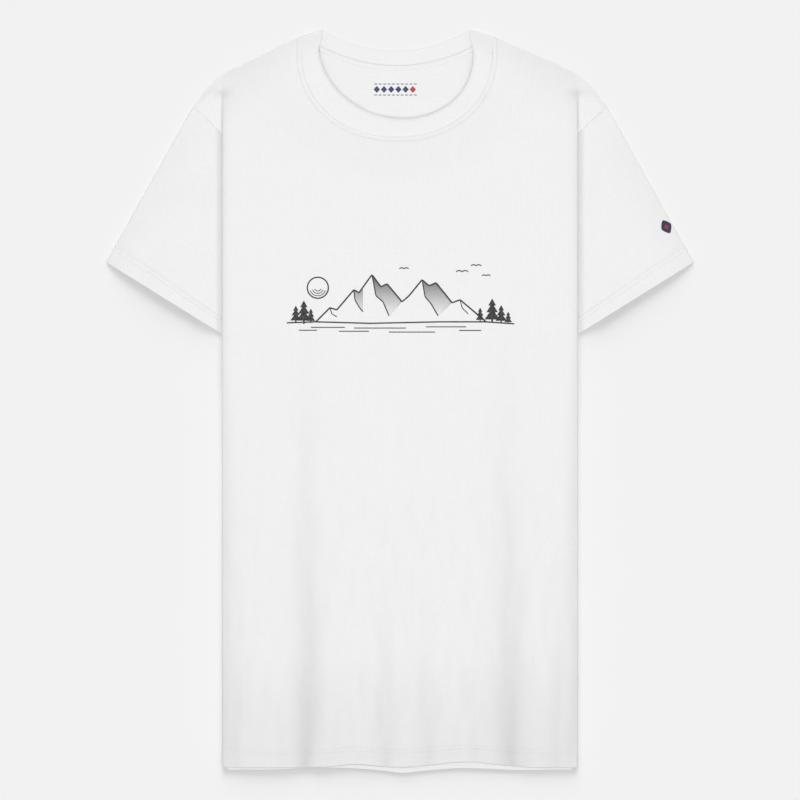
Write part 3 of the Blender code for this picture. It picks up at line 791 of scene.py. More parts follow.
def outer_part(side, row_y, corner_y):
    """Rows past the crease: a half round inwards, or a step down and out to the armhole seam."""
    follow, end_y = armhole_rows(row_y, corner_y)
    end_x = seam_x(end_y) + 0.3
    outward = end_x > CREASE_X
    hem_spare = HEM_SPARE * (1.0 - smooth((row_y - HEM_FRONT_Y - HEM_DEPTH) / 4.0))
    low = np.where(outward, wing_level(CREASE_X, row_y), side_level(CREASE_X, row_y) + hem_spare)
    slope, radius, start_x = crease_start(side, row_y, low)
    turn = np.clip((end_x - CREASE_X) / radius, -1.0, 1.0)[:, None]
    angle = blend(slope[:, None], math.pi, np.linspace(0.0, 1.0, TURN_STEPS))
    way = np.where(angle < math.pi / 2, 1.0, -turn)
    path_x = CREASE_X - way * radius[:, None] * (1.0 - np.sin(angle))
    path_z = low[:, None] + radius[:, None] * (1.0 + np.cos(angle))
    reach = np.where(outward, np.maximum(end_x, path_x[:, -1]), path_x[:, -1])
    extra = blend(path_x[:, -1:], reach[:, None], np.linspace(0.0, 1.0, REACH_STEPS)[1:])
    path_x = np.hstack((path_x, extra))
    path_z = np.hstack((path_z, np.broadcast_to(low[:, None], extra.shape)))
    x, z, along = resample(path_x, path_z, OUTER_COLUMNS)
    straight = (row_y - end_y)[:, None] * np.linspace(0.0, 1.0, OUTER_COLUMNS)
    shoulder = corner_y - shoulder_y(np.maximum(x, start_x[:, None]))
    share = (follow ** 3)[:, None]
    y = row_y[:, None] - (1.0 - share) * straight - share * shoulder
    far = outward[:, None] & (x > CREASE_X + radius[:, None])
    seam_dip = SEAM_DIP * (1.0 - smooth((reach[:, None] - x) / 7.0))
    z = np.where(far, wing_level(x, y) - seam_dip, z)
    return start_x, x, y, z, along


def front_half(side):
    """Half of the front: its main columns by front_height, then its outer part."""
    edge_x, edge_y = top_edge()
    rows = row_places(edge_y[-1] - HEM_FRONT_Y, ROW_MM)
    row_y = HEM_FRONT_Y + rows
    start_x, out_x, out_y, out_z, along = outer_part(side, row_y, edge_y[-1])
    x, rise = leaning_grid(edge_x, edge_y, rows, FRONT_LEAN_FROM)
    x = x + (start_x - edge_x[-1])[:, None] * share_of(x, DRAWN_FROM_X, edge_x[-1]) ** 2
    y = row_y[:, None] + rise
    main = front_point(side * x, y)
    base = front_level(side * start_x, row_y)
    joined = (main[:, -1, 2] - base)[:, None] * (1.0 - smooth(along / 5.0))
    laid_x, laid_y = lay(side * out_x, out_y, HEM_FRONT_Y, front_hem_wave)
    outer = np.stack((laid_x, laid_y, out_z + joined), axis=-1)
    flat_x = np.hstack((side * x, side * (start_x[:, None] + along)))
    flat = np.stack((flat_x, np.hstack((y, out_y))), axis=-1)
    # Painted shade of each point of the front.
    shade = np.hstack((front_shade(side * x, y), front_shade(side * out_x, out_y)))
    return np.concatenate((main, outer), axis=1), flat, shade


# The third grid is the shade painted into the front's colour.
front_points, front_flat, front_painted_shade = both_halves(front_half)
front = add_piece(grid_mesh("front_cloth", front_points, front_flat, shade=front_painted_shade), front_jersey)
hem_mask = (front_flat[..., 1] - HEM_FRONT_Y < HEM_DEPTH).ravel()
thicken(front, JERSEY, hem_mask, HEM_JERSEY)
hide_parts("front_panel", "front_bottom_hem")
print("front grid", front_points.shape, "height", np.round(np.nanmax(front_points[..., 2]), 1), "mm")


# %% [markdown]
# ## Back
# The back lies on the floor in the middle and climbs on to the turned-under sides. It shows inside
# the collar and as a narrow band below the front hem, so it needs its own hem wave and stitching.
# Its hem curls up a little, as jersey does, and it swells round the collar, where it isn't pressed.
# The same grid idea serves: straight columns, and a last row that follows the back neck seam.

# %% Back grid
BACK_COLUMNS = 64
BACK_OUTER_COLUMNS = 7
BACK_ROW_MM = 5.0
BACK_LEAN_FROM = 0.6
NECK_BULGE = 1.8
BACK_HEM_LIFT = 2.2
BACK_EDGE_SPARE = 1.2
BACK_WRINKLE = 0.5
OVER_SLEEVE = 0.1
CORNER_REACH = 2.6


def back_level(x, y):
    """Height of the back: on the floor, and up over the turned-under side."""
    across = smooth((np.abs(x) - np.minimum(seam_x(y), 151.5) + 40.0) / 26.0)
    along = smooth((SLEEVE_TOP[1] - y) / 64.0)
    lift = side_level(x, y) - FLOOR_LEVEL + 2 * PITCH
    wrinkle = BACK_WRINKLE * np.maximum(ripple(x, y, 60.0, 5), 0.0)
    wrinkle = wrinkle * smooth((130.0 - np.abs(x)) / 60.0)
    inner = smooth((y - HEM_BACK_Y) / 60.0) * smooth((318.0 - y) / 30.0)
    neck = NECK_BULGE * bell(collar_distance(x, y + 20.0) / 26.0) * smooth((330.0 - y) / 50.0)
    curl = BACK_HEM_LIFT * (1.0 - smooth((y - HEM_BACK_Y) / 55.0)) * (1.0 - across)
    return FLOOR_LEVEL + lift * across * along + wrinkle * inner + neck + curl


def back_point(x, y, level):
    """Point of the back cloth for a place on the flat pattern, with its hem's relief."""
    laid_x, laid_y = lay(x, y, HEM_BACK_Y, back_hem_wave, BACK_EDGE_X)
    relief = np.clip(hem_press(x, y - HEM_BACK_Y, BACK_HEM_SEED), 0.0, 0.4)
    return np.stack((laid_x, laid_y, level + relief), axis=-1)


def back_half(side):
    """Half of the back: main columns to the crease, then out to the armhole near the shoulder."""
    join_x = NECK_POINT[0]
    neck_x = np.linspace(0.0, join_x, BACK_COLUMNS // 2)
    out_x = np.linspace(join_x, BACK_EDGE_X - 6.0, BACK_COLUMNS // 2 + 1)[1:]
    edge_x = np.concatenate((neck_x, out_x))
    edge_y = np.concatenate((back_seam_y(neck_x) - 0.3, shoulder_y(out_x) - BACK_EDGE_SPARE))
    rows = row_places(edge_y[-1] - HEM_BACK_Y, BACK_ROW_MM)
    row_y = HEM_BACK_Y + rows
    x, rise = leaning_grid(edge_x, edge_y, rows, BACK_LEAN_FROM)
    y = row_y[:, None] + rise
    follow, end_y = armhole_rows(row_y, edge_y[-1])
    reach = CORNER_REACH * smooth((follow - 0.55) / 0.35)
    end_x = np.maximum(seam_x(end_y) - 2 * PITCH + reach, BACK_EDGE_X)
    step = np.linspace(0.0, 1.0, BACK_OUTER_COLUMNS + 1)[1:]
    outer_x = blend(edge_x[-1], end_x[:, None], step)
    bend = (follow ** 3)[:, None]
    straight_y = (row_y - end_y)[:, None] * step
    shoulder = edge_y[-1] + BACK_EDGE_SPARE - shoulder_y(outer_x)
    outer_y = row_y[:, None] - (1.0 - bend) * straight_y - bend * shoulder
    outward = end_x[:, None] > BACK_EDGE_X
    settle = np.where(outward, 1.0 - smooth((outer_x - BACK_EDGE_X + 3.0) / 10.0), 1.0)
    raised = back_level(side * outer_x, outer_y) - FLOOR_LEVEL
    outer_level = FLOOR_LEVEL + raised * settle + OVER_SLEEVE * (1.0 - settle)
    flat = np.stack((np.hstack((side * x, side * outer_x)), np.hstack((y, outer_y))), axis=-1)
    level = np.hstack((back_level(side * x, y), outer_level))
    return back_point(flat[..., 0], flat[..., 1], level), flat


back_points, back_flat = both_halves(back_half)
back = add_piece(grid_mesh("back_cloth", back_points, back_flat), jersey)
hem_mask = (back_flat[..., 1] - HEM_BACK_Y < HEM_DEPTH).ravel()
thicken(back, JERSEY, hem_mask, CLOTH)
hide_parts("back_panel", "back_bottom_hem")
print("back grid", back_points.shape)


# %% [markdown]
# ## Turned-under sides
# Each side of the shirt is folded under the body, so its front half and its back half lie face to
# face with the side seam as their inner edge. One sheet bent like a flat U gives both halves and the
# seam's round edge. It shows at the open bottom hem and from below.

# %% Turned-under sides
SIDE_ROW_MM = 5.0
SIDE_HALF_COLUMNS = 20
SIDE_TURN_COLUMNS = 5


def turned_side(side):
    """U-shaped sheet: back half from the crease in, half round at the seam, front half out."""
    low_y = HEM_FRONT_Y + 1.0
    y = np.linspace(low_y, SIDE_TOP_Y, int((SIDE_TOP_Y - low_y) / SIDE_ROW_MM))[:, None]
    inner = seam_x(y) + 2 * PITCH
    share = np.linspace(0.0, 1.0, SIDE_HALF_COLUMNS)
    upper_x = blend(SIDE_OUTER_X, inner, share)
    upper_z = side_level(upper_x, y) + PITCH
    turn = np.linspace(0.0, math.pi, SIDE_TURN_COLUMNS + 2)[1:-1]
    round_x = inner - np.sin(turn) * PITCH / 2
    round_z = side_level(inner, y) + PITCH / 2 + np.cos(turn) * PITCH / 2
    lower_x = blend(inner, CREASE_X - 3.0, share)
    lower_z = side_level(lower_x, y)
    x = np.hstack((upper_x, round_x, lower_x))
    z = np.hstack((upper_z, round_z, lower_z))
    wide_y = np.broadcast_to(y, x.shape)
    across = run_length(np.hypot(np.diff(x, axis=1), np.diff(z, axis=1)))
    laid_x, laid_y = lay(side * x, wide_y, HEM_FRONT_Y, front_hem_wave)
    return np.stack((laid_x, laid_y, z), axis=-1), np.stack((across, wide_y), axis=-1)


for name, side in SIDES:
    points, flat = turned_side(side)
    piece = add_piece(grid_mesh(name + "_turned_side", points, flat), jersey)
    thicken(piece, JERSEY)
    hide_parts(name + "_side_turned_under")
print("turned sides", points.shape)


# %% [markdown]
# ## Sleeves
# A short sleeve is a tube that lies flat: two layers with a soft fold along the top edge and one
# below. It is fullest away from the body's crease and thins to its edges. The tube is one closed
# ring of points carried from the armhole to the hem, where it stays open and is turned and stitched.

# %% Sleeves
SLEEVE_LOFT = 5.0
SLEEVE_FULL = 27.0
SLEEVE_EDGE = 20.0
SLEEVE_SOFT = 0.5
SLEEVE_TUCK = (1.8, 2.6)
# Painted shadow of the body's crease on the sleeve beside it.
CREASE_SHADE = 0.15
CREASE_SHADE_WIDTH = 8.0
SLEEVE_UPPER_COLUMNS = 66
SLEEVE_LOWER_COLUMNS = 26
SLEEVE_ROW_MM = 3.0
SLEEVE_LAST = 0.97
EDGE_TURN_COLUMNS = 5


def sleeve_plan(along, across):
    """Plan position: along from the armhole to the hem, across from the top edge to underarm."""
    seam = np.array((SLEEVE_TOP, (CREASE_X, CREASE_TOP_Y), (SIDE_SEAM_X, UNDERARM_Y)))
    upper = math.dist(seam[0], seam[1])
    shares = (0.0, upper / (upper + math.dist(seam[1], seam[2])), 1.0)
    armhole = np.stack([np.interp(across, shares, seam[:, axis]) for axis in (0, 1)], axis=-1)
    hem = np.array(SLEEVE_TIP) + across[..., None] * np.subtract(SLEEVE_INNER, SLEEVE_TIP)
    tuck = (-SLEEVE_TUCK[0] - SLEEVE_TUCK[1] * smooth(across / 0.07)) / SLEEVE_LENGTH
    return blend(armhole, hem, (tuck + along * (1.0 - tuck))[..., None])


def sleeve_upper_level(plan, along, across, side):
    """Height of the upper layer: loft grows from the crease, the edges and the armhole seam."""
    x = plan[..., 0]
    out = smooth((x - CREASE_X) / SLEEVE_FULL)
    edge = np.tanh(across * 185.0 / SLEEVE_EDGE)
    from_seam = along * SLEEVE_LENGTH - sum(SLEEVE_TUCK)
    later = smooth(from_seam / 20.0) * (0.15 + 0.6 * smooth(along / 0.35))
    start = 0.25 * smooth(from_seam / 4.0) + later
    loft = SLEEVE_LOFT * out * edge * start
    soft = SLEEVE_SOFT * ripple(side * x, plan[..., 1], 70.0, 8) * out * edge * smooth(from_seam / 30.0)
    tucked = 0.5 * (1.0 - smooth((from_seam + 3.0) / 5.0))
    return FLOOR_LEVEL + PITCH + loft + soft - tucked


def hemmed_level(plan, along, across, from_hem, side):
    """Height of the upper layer with its hem's relief, where the sleeve shows."""
    shown = smooth((plan[..., 0] - CREASE_X + 12.0) / 10.0)
    relief = hem_relief(across * SLEEVE_RUN, from_hem, SLEEVE_HEM_SEED)
    return sleeve_upper_level(plan, along, across, side) + relief * shown


def sleeve_grid(side):
    """Rings of the sleeve: round the top edge, over the upper layer, round and back below."""
    from_hem = row_places(SLEEVE_LENGTH, SLEEVE_ROW_MM)[::-1, None]
    along = 1.0 - from_hem / SLEEVE_LENGTH
    across = np.linspace(0.0, 1.0, SLEEVE_UPPER_COLUMNS) ** 1.25 * SLEEVE_LAST
    upper_along, upper_across = np.broadcast_arrays(along, across)
    upper_plan = sleeve_plan(upper_along, upper_across)
    upper_z = hemmed_level(upper_plan, upper_along, upper_across, from_hem, side)
    lower_across = np.linspace(SLEEVE_LAST, 0.0, SLEEVE_LOWER_COLUMNS)
    lower_along, lower_across = np.broadcast_arrays(along, lower_across)
    lower_plan = sleeve_plan(lower_along, lower_across)
    spare = HEM_SPARE * (1.0 - smooth((from_hem - HEM_DEPTH) / DOUBLE_STEP))
    lower_z = FLOOR_LEVEL + spare + 0.0 * lower_across
    first, second = upper_plan[:, 0], upper_plan[:, 1]
    outward = (first - second) / np.linalg.norm(first - second, axis=1, keepdims=True)
    turn = np.linspace(0.0, math.pi, EDGE_TURN_COLUMNS + 2)[1:-1]
    mean_z = (upper_z[:, :1] + lower_z[:, :1]) / 2
    half_z = (upper_z[:, :1] - lower_z[:, :1]) / 2
    top_plan = first[:, None] + outward[:, None] * (np.sin(turn) * PITCH / 2)[:, None]
    top_z = mean_z - half_z * np.cos(turn)
    low_plan = upper_plan[:, -1:] - outward[:, None] * (np.sin(turn) * PITCH / 2)[:, None]
    low_z = blend(lower_z[:, :1], upper_z[:, -1:], (1.0 + np.cos(turn)) / 2)
    plan = np.concatenate((top_plan, upper_plan, low_plan, lower_plan), axis=1)
    z = np.hstack((top_z, upper_z, low_z, lower_z))
    points = np.dstack((side * plan[..., 0], plan[..., 1], z))
    distance = run_length(np.linalg.norm(np.diff(points, axis=1), axis=2))
    flat_x = np.hstack((distance, distance[:, -1:] + PITCH))
    flat = np.stack((flat_x, np.broadcast_to(-from_hem, flat_x.shape)), axis=-1)
    # Painted shadow of the body's crease on the upper sleeve, fading over about 8 mm outwards.
    near = smooth((CREASE_SHADE_WIDTH - (plan[..., 0] - CREASE_X)) / 5.5)
    shade = CREASE_SHADE * near * (z > FLOOR_LEVEL + PITCH / 2)
    return points, flat, from_hem, shade * smooth((DIMPLE_Y - plan[..., 1]) / 30.0)


for name, side in SIDES:
    points, flat, from_hem, shade = sleeve_grid(side)
    mesh = grid_mesh(name + "_sleeve_cloth", points, flat, closed=True, shade=shade)
    piece = add_piece(mesh, jersey)
    hem_mask = np.repeat(from_hem[:, 0] < HEM_DEPTH, points.shape[1])
    thicken(piece, JERSEY, hem_mask, HEM_JERSEY)
    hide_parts(name + "_sleeve", name + "_sleeve_hem")
print("sleeve grid", points.shape)


# %% [markdown]
# ## Collar rib
# The collar is a folded band of rib knit, 1.2 mm thick, with a plump free edge that curls down and a
# sewn edge that sinks into the seam. It runs round the front, folds over at the shoulder and
# returns behind the neck. A closed profile carried along that ring makes it: at each place the ring
# gives the two edges and the direction that is outward for the cloth, which turns over at the folds.

# %% Rib material and collar ring
RIB_THICKNESS = 1.2
RIB_FOLD_THICKNESS = 0.85
RIB_LIFT = 0.75
RIB_CURL = 1.4
RIB_CURL_WIDTH = 1.5
RIB_FRONT_STEPS = 220
RIB_FOLD_STEPS = 13
RIB_BACK_STEPS = 110
RIB_PITCH_MM = 1.9
PROFILE_COLUMNS = 18
LEAD_STEPS = 14
# Painted shade along the rib's curled free edge.
CURL_SHADE = 0.02
CURL_SHADE_WIDTH = 1.2
rib = knit_material("one by one cotton rib", colour("#ececec"), JERSEY_SHADE, RIB_PITCH_MM,
                    COURSE_MM, 0.12, 0.2)


def rib_front_edges(turn):
    """Plan of the front rib's free edge and sewn edge at a turn from -1 to 1."""
    free_x, free_y = u_line(turn, *RIB_FREE, 2.0)
    free_x = free_x + RIB_LEAN_X + RIB_LEAN * (RIB_FREE[2] - free_y)
    seam_line = u_line(turn, *RIB_SEAM, RIB_POWER)
    return np.stack((free_x, free_y), axis=-1), np.stack(seam_line, axis=-1)


def rib_back_edges(share):
    """Plan of the back rib's two edges at a share from -1 to 1 across the neck."""
    free_x = share * NECK_FOLD_POINT[0] + RIB_LEAN_X
    free_y = NECK_FOLD_POINT[1] - 0.4 - BACK_FREE_SAG * (1.0 - share ** 2)
    seam_x_line = share * NECK_POINT[0]
    seam_line = (seam_x_line, back_seam_y(seam_x_line))
    return np.stack((free_x, free_y), axis=-1), np.stack(seam_line, axis=-1)


def collar_ring():
    """Free edge, sewn edge, angle turned over and side, all round: front, fold, back, fold."""
    turn = np.linspace(-1.0, 1.0, RIB_FRONT_STEPS)
    free, sewn = rib_front_edges(turn)
    parts = [(free, sewn, np.zeros(len(turn)), np.zeros(len(turn)))]
    angle = np.linspace(0.0, math.pi, RIB_FOLD_STEPS)
    run = np.subtract(NECK_POINT, NECK_FOLD_POINT)
    radius = PITCH / 2
    for side in (1.0, -1.0):
        outward = np.array((-run[1] * side, run[0])) / math.hypot(*run)
        free_end, sewn_end = rib_back_edges(np.array([side]))
        front_free, front_sewn = rib_front_edges(np.array([side]))
        before = np.linspace(0.07, 0.97, LEAD_STEPS)[:, None]
        base_free = free_end - outward * radius
        base_sewn = sewn_end - outward * radius
        reach = (np.sin(angle) * radius)[:, None] * outward
        lead = (blend(front_free, base_free, before), blend(front_sewn, base_sewn, before),
                np.zeros(LEAD_STEPS), np.full(LEAD_STEPS, side))
        fold = (base_free + reach, base_sewn + reach, angle, np.full(len(angle), side))
        share = np.linspace(0.965, -0.965, RIB_BACK_STEPS) * side
        back_free, back_sewn = rib_back_edges(share)
        rest = (back_free, back_sewn, np.full(len(share), math.pi), np.full(len(share), side))
        if side > 0:
            parts += [lead, fold, rest]
        else:
            parts += [tuple(column[::-1] for column in part) for part in (fold, lead)]
    return [np.concatenate([part[column] for part in parts]) for column in range(4)]


def rib_profile():
    """Closed profile of the band: (width share, height share), round at the free edge."""
    width = (1.0 - np.cos(np.linspace(0.0, math.pi, PROFILE_COLUMNS))) / 2
    top = np.column_stack((width, np.ones(PROFILE_COLUMNS)))
    below = np.column_stack((width[::-1], -np.ones(PROFILE_COLUMNS)))
    turn = np.linspace(0.0, math.pi, 8)[1:-1]
    free_end = np.column_stack((-np.sin(turn) * 0.035, -np.cos(turn)))
    sewn_end = np.column_stack((1.0 + np.sin(turn) * 0.02, np.cos(turn)))
    return np.vstack((top, sewn_end, below, free_end))


def collar_points():
    """Grid of the collar: ring rows by profile columns, heights from the cloth it is sewn to."""
    free, sewn, angle, side = collar_ring()
    profile = rib_profile()
    width = profile[:, 0][None, :]
    inner_share = np.clip(width, 0.0, 1.0)
    plan = blend(free[:, None], sewn[:, None], width[..., None])
    band = np.linalg.norm(sewn - free, axis=1)[:, None]
    folded = (1.0 - np.cos(angle))[:, None] / 2
    plan_x, plan_y = plan[..., 0], plan[..., 1]
    raised = RIB_LIFT * smooth((shoulder_y(plan_x) - plan_y) / 25.0)
    curl = RIB_CURL * np.exp(-inner_share * band / RIB_CURL_WIDTH)
    curl = curl * smooth((NECK_FOLD_POINT[1] - 4.0 - plan_y) / 14.0)
    front_z = front_level(plan_x, plan_y) + raised - curl
    fold_z = FLOOR_LEVEL + 0.1 + PITCH * (1.0 + np.cos(angle))[:, None] / 2
    z = np.where(angle[:, None] > 0, fold_z, front_z)
    thickness = blend(RIB_THICKNESS, RIB_FOLD_THICKNESS, smooth(folded * 4.0))
    crown = 1.0 - 0.62 * np.clip((inner_share - 0.82) / 0.18, 0.0, 1.0) ** 2
    height = profile[:, 1][None, :] * thickness / 2 * crown
    run = np.subtract(NECK_POINT, NECK_FOLD_POINT) / math.dist(NECK_POINT, NECK_FOLD_POINT)
    out_x = -run[1] * side[:, None] * np.sin(angle)[:, None]
    out_y = run[0] * np.sin(angle)[:, None]
    x = plan[..., 0] + out_x * height
    y = plan[..., 1] + out_y * height
    z = z + np.cos(angle)[:, None] * height
    laid_x, laid_y = lay(x, y, HEM_FRONT_Y, front_hem_wave)
    steps = np.linalg.norm(np.diff((free + sewn) / 2, axis=0), axis=1)
    around = run_length(steps[None]).T
    points = np.stack((laid_x, laid_y, z), axis=-1)
    across = np.broadcast_to(width * band, z.shape)
    flat = np.stack((np.broadcast_to(around, z.shape), across), axis=-1)
    # Painted shade along the front rib's curled free edge, from y 290 upwards.
    shade = CURL_SHADE * np.exp(-inner_share * band / CURL_SHADE_WIDTH)
    shade = shade * smooth((y - 290.0) / 50.0)
    return points, flat, shade * (angle[:, None] < 0.1)


def profile_first(points, flat, shade):
    """Profile columns first and ring rows second, with the ring's flat places run on past its end."""
    loop_flat = np.swapaxes(flat, 0, 1)
    step = 2.0 * loop_flat[:, -1:] - loop_flat[:, -2:-1]
    step[..., 1] = loop_flat[:, -1:, 1]
    wider = np.concatenate((loop_flat, step), axis=1)
    return np.swapaxes(points, 0, 1), wider, np.swapaxes(shade, 0, 1)


points, flat, shade = profile_first(*collar_points())
collar_mesh = grid_mesh("collar_rib", points, flat, closed=True, shade=shade, ring=True)
collar = add_piece(turn_outward(collar_mesh), rib)
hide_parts("neck_rib")
print("collar grid", points.shape)

# %% [markdown]
# ## Neck tape
# A narrow cotton tape covers the back neck seam on the inside and is sewn along both its edges. It
# shows through the collar as two fine lines close together. A ribbon that follows the seam's arc,
# slightly crowned between its two rows of stitching, gives both lines as shading.

# %% Neck tape
TAPE_WIDTH = 5.2
TAPE_HALF_LENGTH = 78.0
TAPE_DROP = 0.62
TAPE_CROWN = 0.3
TAPE_THICKNESS = 0.45
tape_cotton = knit_material("woven cotton tape", JERSEY_WHITE, JERSEY_SHADE, 1.2, 0.9, 0.1, 0.2)


def tape_grid():
    """Ribbon along the back seam: width runs across it, and a cosine crowns it."""
    along = np.linspace(-TAPE_HALF_LENGTH, TAPE_HALF_LENGTH, 120)[:, None]
    width = np.linspace(-0.5, 0.5, 9)
    x, offset = np.broadcast_arrays(along, width * TAPE_WIDTH)
    z = node_box("neck_tape")[1][2] - TAPE_DROP + TAPE_CROWN * np.cos(width * math.pi) + 0.0 * x
    laid_x, laid_y = lay(x, back_seam_y(x) + offset, HEM_BACK_Y, back_hem_wave)
    return np.stack((laid_x, laid_y, z), axis=-1), np.stack((x, offset), axis=-1)


tape = add_piece(grid_mesh("neck_tape_cloth", *tape_grid()), tape_cotton)
thicken(tape, TAPE_THICKNESS)
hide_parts("neck_tape")

# %% [markdown]
# ## Sleeve patch
# A small embroidered patch sits near the sleeve's outer edge. Satin stitch lays parallel threads
# side by side over a padded shape, so the patch is slightly domed and its threads catch the light
# in fine ridges. Threads are 0.4 mm thick; they are drawn 0.9 mm apart to show at this distance. The
# outline is a super-ellipse with a low power, which is a lozenge with soft corners.

# %% Sleeve patch
BADGE_ALONG = 0.75
BADGE_ACROSS = 0.03
BADGE_HALF = (7.2, 5.4)
BADGE_CENTRE = 0.42
BADGE_THICKNESS = 0.4
LOZENGE_POWER = 1.3
THREAD_PITCH = 0.9


def thread_material(name, hex_value, painted_shade_hex):
    """Thread: parallel ridges across the UV map, with painted shade darker between the threads."""
    material, tree = new_material(name)
    _, _, y = cloth_place(tree)
    ridges = wave_across(tree, y, THREAD_PITCH)
    # Painted shade: the colour darkens in the hollows between the threads.
    tint = mixed_colour(tree, mapped(tree, ridges, -1.0, 0.4), colour(painted_shade_hex), colour(hex_value))
    relief = bumped(tree, ridges, 0.6, 0.15)
    finish_shader(tree, tint, relief, Roughness=0.55, IOR=1.5, Sheen_Weight=0.15)
    return material


def patch_mesh(name, scale, lift):
    """Disc of rings bent to a lozenge on the left sleeve, raised by lift times 1 - radius^6."""
    radius = np.linspace(0.02, 1.0, 14)[:, None]
    angle = np.linspace(0.0, 2 * math.pi, 48, endpoint=False)[::-1]
    powers = np.abs(np.cos(angle)) ** LOZENGE_POWER + np.abs(np.sin(angle)) ** LOZENGE_POWER
    size = powers ** (-1 / LOZENGE_POWER)
    down = radius * size * np.cos(angle) * (BADGE_HALF[0] * scale)
    over = radius * size * np.sin(angle) * (BADGE_HALF[1] * scale)
    along = BADGE_ALONG + down / SLEEVE_LENGTH
    across = BADGE_ACROSS + over / math.dist(SLEEVE_TIP, SLEEVE_INNER)
    plan = sleeve_plan(along, across)
    level = sleeve_upper_level(plan, along, across, 1.0) + JERSEY / 2 + 0.2 + lift * (1.0 - radius ** 6)
    points = np.dstack((plan[..., 0], plan[..., 1], level))
    flat = np.stack((down, over), axis=-1)
    return grid_mesh(name, points, np.concatenate((flat, flat[:, :1]), axis=1), closed=True)


navy_thread = thread_material("navy rayon embroidery thread", "#232a52", "#151a38")
red_thread = thread_material("red rayon embroidery thread", "#b02234", "#7d1523")
badge = add_piece(patch_mesh("sleeve_patch", 1.0, 0.5), navy_thread)
badge_centre = add_piece(patch_mesh("sleeve_patch_centre", BADGE_CENTRE, 0.9), red_thread)
for patch in (badge, badge_centre):
    thicken(patch, BADGE_THICKNESS)
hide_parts("sleeve_badge")
print("patch and tape made")

# %% [markdown]
# ## Coverstitching
# A coverstitch machine leaves two parallel rows of short threads on the hems and one beside the
# collar. Each thread is a little spindle, 2.6 mm long, that sinks into the cloth at both ends. The
# cloth's own function gives each thread's ends and its upward direction, so the rows follow the folds.

# %% Stitches
STITCH_PITCH = 3.4
STITCH_LENGTH = 2.6
STITCH_RADIUS = 0.2
STITCH_SIDES = 6
STITCH_BOW = 0.12
# The sewing thread is coloured greyer than the cloth: painted shade along the stitched lines.
shade_greyed_thread = thread_material("white polyester sewing thread", "#dedede", "#cdcdcd")


def stitch_mesh(name, starts, ends, ups):
    """Spindles from starts to ends: radius is sqrt(sin(pi t)), and a sine bows each one up."""
    t = np.linspace(0.0, 1.0, 6)
    swell = np.sqrt(np.clip(np.sin(math.pi * t), 0.003, 1.0))
    run = ends - starts
    ahead = run / np.linalg.norm(run, axis=1, keepdims=True)
    sideways = np.cross(ahead, ups)
    angle = np.linspace(0.0, 2 * math.pi, STITCH_SIDES, endpoint=False)
    bow = ups[:, None] * (STITCH_BOW * np.sin(math.pi * t))[None, :, None]
    spine = starts[:, None] + run[:, None] * t[None, :, None] + bow
    ring_side = sideways[:, None] * np.cos(angle)[None, :, None]
    ring_up = ups[:, None] * np.sin(angle)[None, :, None]
    ring = (ring_side + ring_up) * STITCH_RADIUS
    points = spine[:, :, None] + ring[:, None] * swell[None, :, None, None]
    count, rings, sides = points.shape[:3]
    index = np.arange(rings * sides).reshape(rings, sides)
    quads = quads_of(np.hstack((index, index[:, :1])))[:, OTHER_WAY]
    shift = np.arange(count)[:, None] * rings * sides
    faces = (quads.ravel() + shift).reshape(-1, 4).tolist()
    for cap in (index[0], index[-1, ::-1]):
        faces += (cap + shift).tolist()
    corners = [corner for face in faces for corner in face]
    uvs = points.reshape(-1, 3)[corners][:, :2]
    return turn_outward(cloth_mesh(name, points, faces, uvs))


def surface_frame(surface, x, y):
    """Point of a cloth function at (x, y) and its unit normal from small steps both ways."""
    here = surface(x, y)
    along_x = surface(x + 0.5, y) - here
    along_y = surface(x, y + 0.5) - here
    normal = np.cross(along_x, along_y)
    return here, normal / np.linalg.norm(normal, axis=1, keepdims=True)


def stitch_row(surface, x, y, offset):
    """Threads along a line of pattern points: every step of the line carries one thread."""
    here, normal = surface_frame(surface, x, y)
    here = here + normal * offset
    middle = (here[1:] + here[:-1]) / 2
    half = (here[1:] - here[:-1]) / 2 * STITCH_LENGTH / STITCH_PITCH
    ups = normal[:-1] * math.copysign(1.0, offset)
    return middle - half, middle + half, ups


def even_steps(x, y, pitch):
    """The same line with points spaced evenly by pitch along its length."""
    length = run_length(np.hypot(np.diff(x), np.diff(y))[None])[0]
    wanted = np.arange(0.0, length[-1], pitch)
    return np.interp(wanted, length, x), np.interp(wanted, length, y)


def add_stitches(name, rows):
    """Piece of sewing thread, greyed with painted shade, from several rows of stitches, one after another.
    """
    starts, ends, ups = (np.concatenate(part) for part in zip(*rows))
    return add_piece(stitch_mesh(name, starts, ends, ups), shade_greyed_thread)


def back_surface(x, y):
    """Point of the back cloth over (x, y)."""
    return back_point(x, y, back_level(x, y))


def sleeve_surface(side):
    """Function from run over the hem and distance from it to a point of the upper layer."""
    def surface(run, from_hem):
        across = run / SLEEVE_RUN
        along = 1.0 - from_hem / SLEEVE_LENGTH
        plan = sleeve_plan(along, across)
        level = hemmed_level(plan, along, across, from_hem, side)
        return np.stack((side * plan[..., 0], plan[..., 1], level), axis=-1)
    return surface


